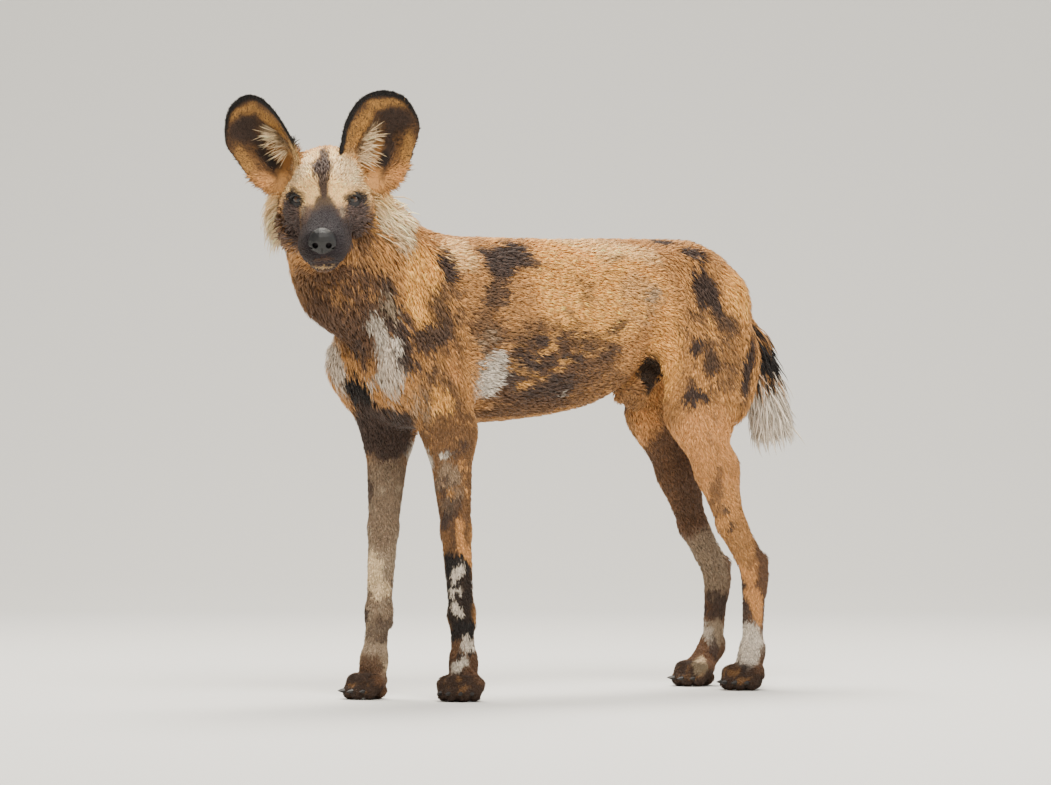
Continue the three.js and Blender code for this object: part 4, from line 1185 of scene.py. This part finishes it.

# Ears. Big round cups of thin skin over gristle: dark behind, with a black rim, and inside them short golden
# hair round a dark hollow, all darkened further by painted shade. Each grows from a narrow root at the side
# of the skull.
EAR_TUFTS = 15000
EAR_DEPTH, EAR_CUP, EAR_WALL = 42, 10, 4.6
EAR_RIM = [
    (-68, 4), (-70, 30), (-70, 53), (-63, 78), (-50, 97), (-27, 110), (-1, 112), (19, 104), (35, 87),
    (45, 66), (43, 39), (41, 15), (33, -8), (22, -28), (4, -40), (-21, -40), (-54, -26),
]
EARS = [
    {"name": "ear_left", "side": 1, "at": (-62, 82, 35), "turn": 14, "lean": 14, "back": 6},
    {"name": "ear_right", "side": -1, "at": (-62, -90, 33), "turn": -32, "lean": -41, "back": 4},
]


def closed_curve(knots, count):
    knots = np.array(knots, float)
    at = np.linspace(0, len(knots), count, endpoint=False)
    i = at.astype(int)
    t = (at - i)[:, None]
    a, b, c, d = (knots[(i + k) % len(knots)] for k in (-1, 0, 1, 2))
    square = 2 * a - 5 * b + 4 * c - d
    cube = 3 * b - a - 3 * c + d
    return 0.5 * (2 * b + (c - a) * t + square * t ** 2 + cube * t ** 3)


def ear_spot(share, rim, inner, side):
    """A place on the ear's funnel: share runs from the root to the rim, inner is its front surface."""
    out = rim[..., 0] * share
    depth = EAR_DEPTH * (1 - share) ** 1.2 + EAR_CUP * (1 - (out / 60) ** 2)
    fold = 2.4 * np.sin(out / 5.5) * np.exp(-(((share - 0.42) / 0.2) ** 2)) * inner
    wall = inner * EAR_WALL * (1 - 0.5 * share ** 6)
    return np.stack([wall - depth + fold, side * (out - 16 * (1 - share)), rim[..., 1] * share], -1)


def ear_place(ear):
    """Where the ear's root stands on the body, and the axes of the ear."""
    spin = rotation("Z", ear["turn"]) @ rotation("Y", -ear["back"]) @ rotation("X", -ear["lean"])
    return carried(HEAD, ear["at"]), HEAD[1] @ spin


def ear_mesh(side):
    rings, around = 34, 132
    rim = closed_curve(EAR_RIM, around)[None]
    share = np.linspace(0, 1, rings + 1)[1:, None] ** 0.8
    outer = ear_spot(share, rim, 0.0, side).reshape(-1, 3)
    inner = ear_spot(share[::-1] * 0.985, rim, 1.0, side).reshape(-1, 3)
    ends = [ear_spot(np.zeros((1, 1)), rim[:, :1], inward, side).reshape(-1, 3) for inward in (0.0, 1.0)]
    spots = np.concatenate([ends[0], outer, inner, ends[1]])
    last = len(spots) - 1
    faces = []
    for k in range(around):
        n = (k + 1) % around
        faces += [(0, 1 + n, 1 + k), (last, last - around + k, last - around + n)]
        for r in range(2 * rings - 1):
            a, b = 1 + r * around, 1 + (r + 1) * around
            faces.append((a + k, a + n, b + n, b + k))
    if side < 0:
        faces = [face[::-1] for face in faces]
    return spots, faces


# Markings of the ear's front, by its own outward and upward place: shade, place, radii, turn, strength
EAR_FRONT = [
    (TAN, (0, 40), (90, 110), 0, 0.75),
    (BROWN, (0, 78), (60, 40), 0, 0.8),
    (BROWN, (28, 36), (26, 60), 8, 0.45),
    (GOLD, (-46, 44), (14, 44), -22, 0.8),
    (GOLD, (-14, 92), (30, 8), 8, 0.7),
    (GOLD, (34, 26), (9, 34), 4, 0.5),
    (DARK, (8, 72), (24, 19), -20, 0.95),
    (DARK, (8, 26), (8, 44), 4, 0.95),
    (BLACK, (6, -2), (8, 22), 0, 0.9),
    (CREAM, (-22, 32), (10, 25), -14, 0.7),
    (ORANGE, (30, -10), (18, 14), 0, 0.9),
    (STRAW, (-44, -16), (30, 26), 0, 1.0),
    (TAN, (-12, -22), (18, 20), 0, 0.9),
]


def ear_colour(out, up, rim_share, front):
    flat = np.stack([out, up, np.zeros(len(out))], 1)
    shade = DARK + (BROWN - DARK) * (0.5 + 0.5 * noise(flat, 18, 77))[:, None] * 0.7
    shade += (TAN - shade) * np.clip((16 - up) / 40, 0, 1)[:, None]
    wobble = np.stack([noise(flat, 16, 71) * 4 + noise(flat, 4, k) * 3 for k in (73, 74)], 1)
    for tone, centre, radii, turn, strength in EAR_FRONT:
        t = math.radians(turn)
        x, y = (flat[:, :2] + wobble - centre).T
        along = (x * math.cos(t) + y * math.sin(t)) / radii[0]
        across = (y * math.cos(t) - x * math.sin(t)) / radii[1]
        cover = np.clip((1.3 - np.hypot(along, across)) / 0.6, 0, 1) * strength * front
        shade += (tone - shade) * cover[:, None]
    inner_edge = np.clip((-out - 8) / 50, 0, 1)
    thickness = 0.03 + 0.11 * np.maximum(inner_edge, np.clip((up - 50) / 60, 0, 1) * 0.8)
    edge = np.clip((rim_share - 1 + thickness) / 0.05, 0, 1) * np.clip((up + 2 - out * 0.2) / 16, 0, 1)
    # Painted shade: the whole ear is darkened, to about half its colour above its middle and less towards its
    # root, for the shade in and behind the cup.
    painted_cup_shade = 0.53 + 0.4 * np.clip((30 - up) / 40, 0, 1)[:, None]
    return painted_cup_shade * (shade + (BLACK - shade) * edge[:, None])


def ear_places(local, side):
    """Outward and upward place of points of the ear, and their share of the way to its rim."""
    up = local[:, 2]
    out = local[:, 1] * side
    rim = closed_curve(EAR_RIM, 360)
    turn = np.arctan2(up, out)
    rim_turn = np.arctan2(rim[:, 1], rim[:, 0])
    order = np.argsort(rim_turn)
    reach = np.interp(turn, rim_turn[order], np.hypot(rim[:, 0], rim[:, 1])[order], period=2 * math.pi)
    return out, up, np.hypot(out, up) / reach


for ear in EARS:
    side = ear["side"]
    place = ear_place(ear)
    local, faces = ear_mesh(side)
    body_spots = carried(place, local)
    mesh = bpy.data.meshes.new(ear["name"])
    mesh.from_pydata(((body_spots + SHIFT) / 1000).tolist(), [], faces)
    is_inner = (np.arange(len(local)) > len(local) / 2).astype(float)
    tinted(mesh, ear_colour(*ear_places(local, side), is_inner))
    layer = mesh.uv_layers.new(name="OFBake")
    corners = np.empty(len(mesh.loops), np.int32)
    mesh.loops.foreach_get("vertex_index", corners)
    flat = np.stack([local[:, 1] / 300 + 0.25 + 0.5 * is_inner, local[:, 2] / 200 + 0.35], 1)
    layer.uv.foreach_set("vector", flat[corners].astype(np.float32).ravel())
    shown(ear["name"] + "_skin", mesh, skin_colour, [ear["name"]])
    root, normal, unwrap = scattered(mesh, EAR_TUFTS)
    own = (root - place[0]) @ place[1]
    facing_out = (normal @ place[1])[:, 0] > 0.0
    out, up, share = ear_places(own, side)
    keep = (share > 0.3) & (near_head(root, 1)[0] == 0)
    root, normal, unwrap = root[keep], normal[keep], unwrap[keep]
    own, facing_out = own[keep], facing_out[keep]
    out, up, share = out[keep], up[keep], share[keep]
    away = np.stack([np.full(len(out), 0.05), side * out, up + 20], 1)
    away /= np.linalg.norm(away, axis=1)[:, None]
    shades = ear_colour(out, up, share, facing_out.astype(float))
    cream = facing_out & (out < -4) & (out > -46) & (up > 0) & (up < 74)
    lengths = np.where(cream, 10, 8) * np.clip(1.5 - share * 0.6, 0.6, 1.4)
    lengths = np.where(up < 6, 13, lengths)
    lengths = np.where((share > 0.92) & (up > 10), 4.0, lengths)
    lengths = lengths * random.normal(1, 0.2, len(root))
    spindles(
        ear["name"] + "_coat", root, normal, away @ place[1].T, lengths, lengths * 0.05 + 0.9,
        np.where(share > 0.92, 0.1, 0.24), shades, unwrap, SHORT, [ear["name"]], 0.3,
    )

# Ear fringes. Long cream hairs spring in clumps from the inner edge of the ear's opening and fan
# across it, to keep dust and flies out.
FRINGE_HAIRS, FRINGE_CLUMPS = 110, 9
for ear in EARS:
    side = ear["side"]
    place = ear_place(ear)
    count = FRINGE_HAIRS
    clump = random.integers(0, FRINGE_CLUMPS, count)
    up = random.uniform(2, 46, FRINGE_CLUMPS)[clump] + random.normal(0, 2.5, count)
    out = random.uniform(-36, -24, FRINGE_CLUMPS)[clump] + random.normal(0, 3, count)
    own = np.stack([np.full(count, 0.0), side * out, up], 1)
    share = ear_places(own, side)[2]
    own[:, 0] = EAR_WALL - EAR_DEPTH * (1 - np.minimum(share, 1)) ** 1.2 - EAR_CUP * (1 - (out / 60) ** 2)
    root = carried(place, own)
    rise = random.uniform(0.0, 0.8, FRINGE_CLUMPS)[clump] + random.normal(0, 0.16, count) + (up - 20) / 60
    lean = np.stack([np.full(count, 0.2), np.full(count, side * 1.0), rise], 1)
    normal = np.repeat((place[1] @ np.array([1.0, -side * 0.3, 0]))[None], count, 0)
    normal /= np.linalg.norm(normal, axis=1)[:, None]
    lengths = random.normal(23, 7, count).clip(8, 36)
    shades = CREAM * random.uniform(0.7, 1.15, count)[:, None]
    spindles(
        ear["name"] + "_fringe", root, normal, lean @ place[1].T, lengths, np.full(count, 0.9),
        np.full(count, 0.26), shades, 0.5 + own[:, 1:] / 400, LONG, [ear["name"]],
    )

# Eyes. Round wet balls, amber brown with a round pupil and a dark rim, that look at the camera. The
# lids are rims of bare black skin drawn over each ball and sunk into the face.
PUPIL_EDGE, IRIS_EDGE = 18, 38


def eye_material():
    material = bpy.data.materials.new("eye")
    material.use_nodes = True
    nodes, links = material.node_tree.nodes, material.node_tree.links
    shader = nodes["Principled BSDF"]
    shader.inputs["Roughness"].default_value = 0.2
    shader.inputs["Specular IOR Level"].default_value = 0.3
    shader.inputs["Coat Weight"].default_value = 0.5
    shader.inputs["Coat Roughness"].default_value = 0.03
    tint = nodes.new("ShaderNodeAttribute")
    tint.attribute_name = "coat"
    links.new(tint.outputs["Color"], shader.inputs["Base Color"])
    return material


wet_eye = eye_material()


def plain_material(name, rgb, rough, coat, bump, scale):
    material = bpy.data.materials.new(name)
    material.use_nodes = True
    nodes, links = material.node_tree.nodes, material.node_tree.links
    shader = nodes["Principled BSDF"]
    shader.inputs["Coat Roughness"].default_value = 0.2
    shader.inputs["Coat Weight"].default_value = coat
    place = nodes.new("ShaderNodeTexCoord")
    grain = nodes.new("ShaderNodeTexVoronoi")
    grain.inputs["Scale"].default_value = scale
    links.new(place.outputs["Object"], grain.inputs["Vector"])
    ramp = nodes.new("ShaderNodeValToRGB")
    ramp.color_ramp.elements[0].color = (*colour(*rgb), 1)
    ramp.color_ramp.elements[1].color = (*(colour(*rgb) * 1.8), 1)
    links.new(grain.outputs["Distance"], ramp.inputs["Fac"])
    links.new(ramp.outputs["Color"], shader.inputs["Base Color"])
    shader.inputs["Roughness"].default_value = rough
    raised = nodes.new("ShaderNodeBump")
    raised.inputs["Strength"].default_value = bump
    raised.inputs["Distance"].default_value = 0.0006
    links.new(grain.outputs["Distance"], raised.inputs["Height"])
    links.new(raised.outputs["Normal"], shader.inputs["Normal"])
    return material


lid_skin = plain_material("eyelid", (15, 12, 12), 0.6, 0.05, 0.3, 1200)
LID_ROWS = [(-0.5, 0.15), (0.0, 1.2), (1.3, 1.9), (3.2, 2.1)]


def lids(s, look, centre):
    """Upper and lower lid as one ring: from inside the almond opening out until it sinks in the skin."""
    side = np.cross((0, 0, 1), look)
    side /= np.linalg.norm(side)
    rise = np.cross(look, side)
    tilt = math.radians(-9) * s
    side, rise = side * math.cos(tilt) + rise * math.sin(tilt), rise * math.cos(tilt) - side * math.sin(tilt)
    angle = np.linspace(0, 2 * math.pi, 72, endpoint=False)
    bow = np.sin(angle)
    tall = np.where(bow > 0, 5.8, 4.9) * np.sign(bow) * np.abs(bow) ** 1.15
    edge = np.stack([9.8 * np.cos(angle), tall], 1)
    out = np.stack([np.cos(angle), np.sin(angle)], 1)
    rows = []
    for offset, lift in LID_ROWS:
        flat = edge + out * offset
        over = lift * np.where(bow > 0.2, 1.9, 1.0)
        deep = np.sqrt(np.maximum((EYE_RADIUS + over) ** 2 - (flat * flat).sum(1), 4))
        rows.append(centre + flat[:, :1] * side + flat[:, 1:] * rise + deep[:, None] * look)
    for offset, level in ((6.5, -1.0), (9.5, -3.0)):
        flat = edge + out * offset
        start = centre + flat[:, :1] * side + flat[:, 1:] * rise + 7 * look
        rows.append(drawn_on(head_field, start, level, rounds=4, reach=8.0))
    return np.concatenate(rows), len(angle)


for s, look, centre in eyes:
    name = "eye_right" if s < 0 else "eye_left"
    gaze = np.array([1, s * 0.2, 0.02])
    gaze /= np.linalg.norm(gaze)
    work = bmesh.new()
    bmesh.ops.create_uvsphere(work, u_segments=64, v_segments=48, radius=EYE_RADIUS)
    mesh = bpy.data.meshes.new(name)
    work.to_mesh(mesh)
    work.free()
    ball = spots_of(mesh)
    side = np.cross((0, 0, 1), gaze)
    side /= np.linalg.norm(side)
    axes = np.stack([side, np.cross(gaze, side), gaze], 1)
    local = ball @ axes.T
    off_axis = np.degrees(np.arccos(np.clip(ball[:, 2] / EYE_RADIUS, -1, 1)))
    amber, rim, pupil = colour(66, 42, 20), colour(20, 13, 9), colour(6, 5, 5)
    out = np.repeat(amber[None], len(ball), 0)
    out[off_axis > IRIS_EDGE] = rim
    out[off_axis < PUPIL_EDGE] = pupil
    tinted(mesh, out)
    set_spots(mesh, (carried(HEAD, local + centre) + SHIFT) / 1000)
    shown(name + "_ball", mesh, wet_eye, [name])
    ring, around = lids(s, look, centre)
    rows = len(ring) // around
    mesh = bpy.data.meshes.new(name + "_lids")
    faces = []
    for row in range(rows - 1):
        for k in range(around):
            n = (k + 1) % around
            faces.append((row * around + k, row * around + n, (row + 1) * around + n, (row + 1) * around + k))
    mesh.from_pydata(((carried(HEAD, ring) + SHIFT) / 1000).tolist(), [], faces)
    shown(name + "_lids", mesh, lid_skin, ["head"])

# Nose and claws. The nose is bare black leather with a pebbled grain, and the claws are blunt dark
# horn. Both keep the solid model's own shapes.
nose_leather = plain_material("nose leather", (6, 5, 6), 0.5, 0.05, 0.6, 900)
horn = plain_material("claw horn", (20, 16, 14), 0.6, 0.0, 0.2, 400)
for name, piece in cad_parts.items():
    if name.startswith("claw"):
        piece.data.materials.clear()
        piece.data.materials.append(horn)
    elif name == "nose":
        piece.data.materials.clear()
        piece.data.materials.append(nose_leather)

# Floor and light. A pale floor curves up behind the model and can be seen through from its back, so
# that it hides nothing from any side. Three large soft lamps light it.
floor_mesh = bpy.data.meshes.new("floor")
bend = [(3 + 2 * math.sin(a), 2 - 2 * math.cos(a)) for a in np.linspace(0.2, 1.57, 9)]
sweep = [(-6, 0), (3, 0)] + bend + [(5, 9)]
floor_spots = [(x, y, z) for y, z in sweep for x in (-9, 9)]
floor_faces = [(2 * k, 2 * k + 1, 2 * k + 3, 2 * k + 2) for k in range(len(sweep) - 1)]
floor_mesh.from_pydata(floor_spots, [], floor_faces)
floor_mesh.shade_smooth()
floor = bpy.data.objects.new("floor", floor_mesh)
bpy.context.scene.collection.objects.link(floor)
floor.rotation_euler = (0, 0, -TURN)
pale = bpy.data.materials.new("floor")
pale.use_nodes = True
pale.node_tree.nodes["Principled BSDF"].inputs["Base Color"].default_value = (0.72, 0.71, 0.68, 1)
pale.node_tree.nodes["Principled BSDF"].inputs["Roughness"].default_value = 0.9
behind = pale.node_tree.nodes.new("ShaderNodeNewGeometry")
clear = pale.node_tree.nodes.new("ShaderNodeBsdfTransparent")
either = pale.node_tree.nodes.new("ShaderNodeMixShader")
pale.node_tree.links.new(behind.outputs["Backfacing"], either.inputs["Fac"])
pale.node_tree.links.new(pale.node_tree.nodes["Principled BSDF"].outputs["BSDF"], either.inputs[1])
pale.node_tree.links.new(clear.outputs["BSDF"], either.inputs[2])
pale.node_tree.links.new(either.outputs["Shader"], pale.node_tree.nodes["Material Output"].inputs["Surface"])
floor_mesh.materials.append(pale)

world = bpy.data.worlds.new("studio")
world.use_nodes = True
world.node_tree.nodes["Background"].inputs["Color"].default_value = (1.0, 0.98, 0.95, 1)
world.node_tree.nodes["Background"].inputs["Strength"].default_value = 0.38
bpy.context.scene.world = world


def lamp(name, place, size, power, warmth):
    data = bpy.data.lights.new(name, "AREA")
    data.size = size
    data.energy = power
    data.color = warmth
    light = bpy.data.objects.new(name, data)
    bpy.context.scene.collection.objects.link(light)
    aim = np.array([0, 0, 0.45]) - np.array(place)
    light.location = place
    light.rotation_mode = "QUATERNION"
    light.rotation_quaternion = Vector(aim).to_track_quat("-Z", "Y")


lamp("key", (-1.6, -3.0, 4.0), 2.0, 360, (1.0, 0.95, 0.87))
lamp("fill", (3.2, -3.0, 1.8), 2.6, 50, (0.92, 0.96, 1.0))
lamp("top", (0.6, 1.2, 3.8), 2.0, 330, (1.0, 0.95, 0.86))
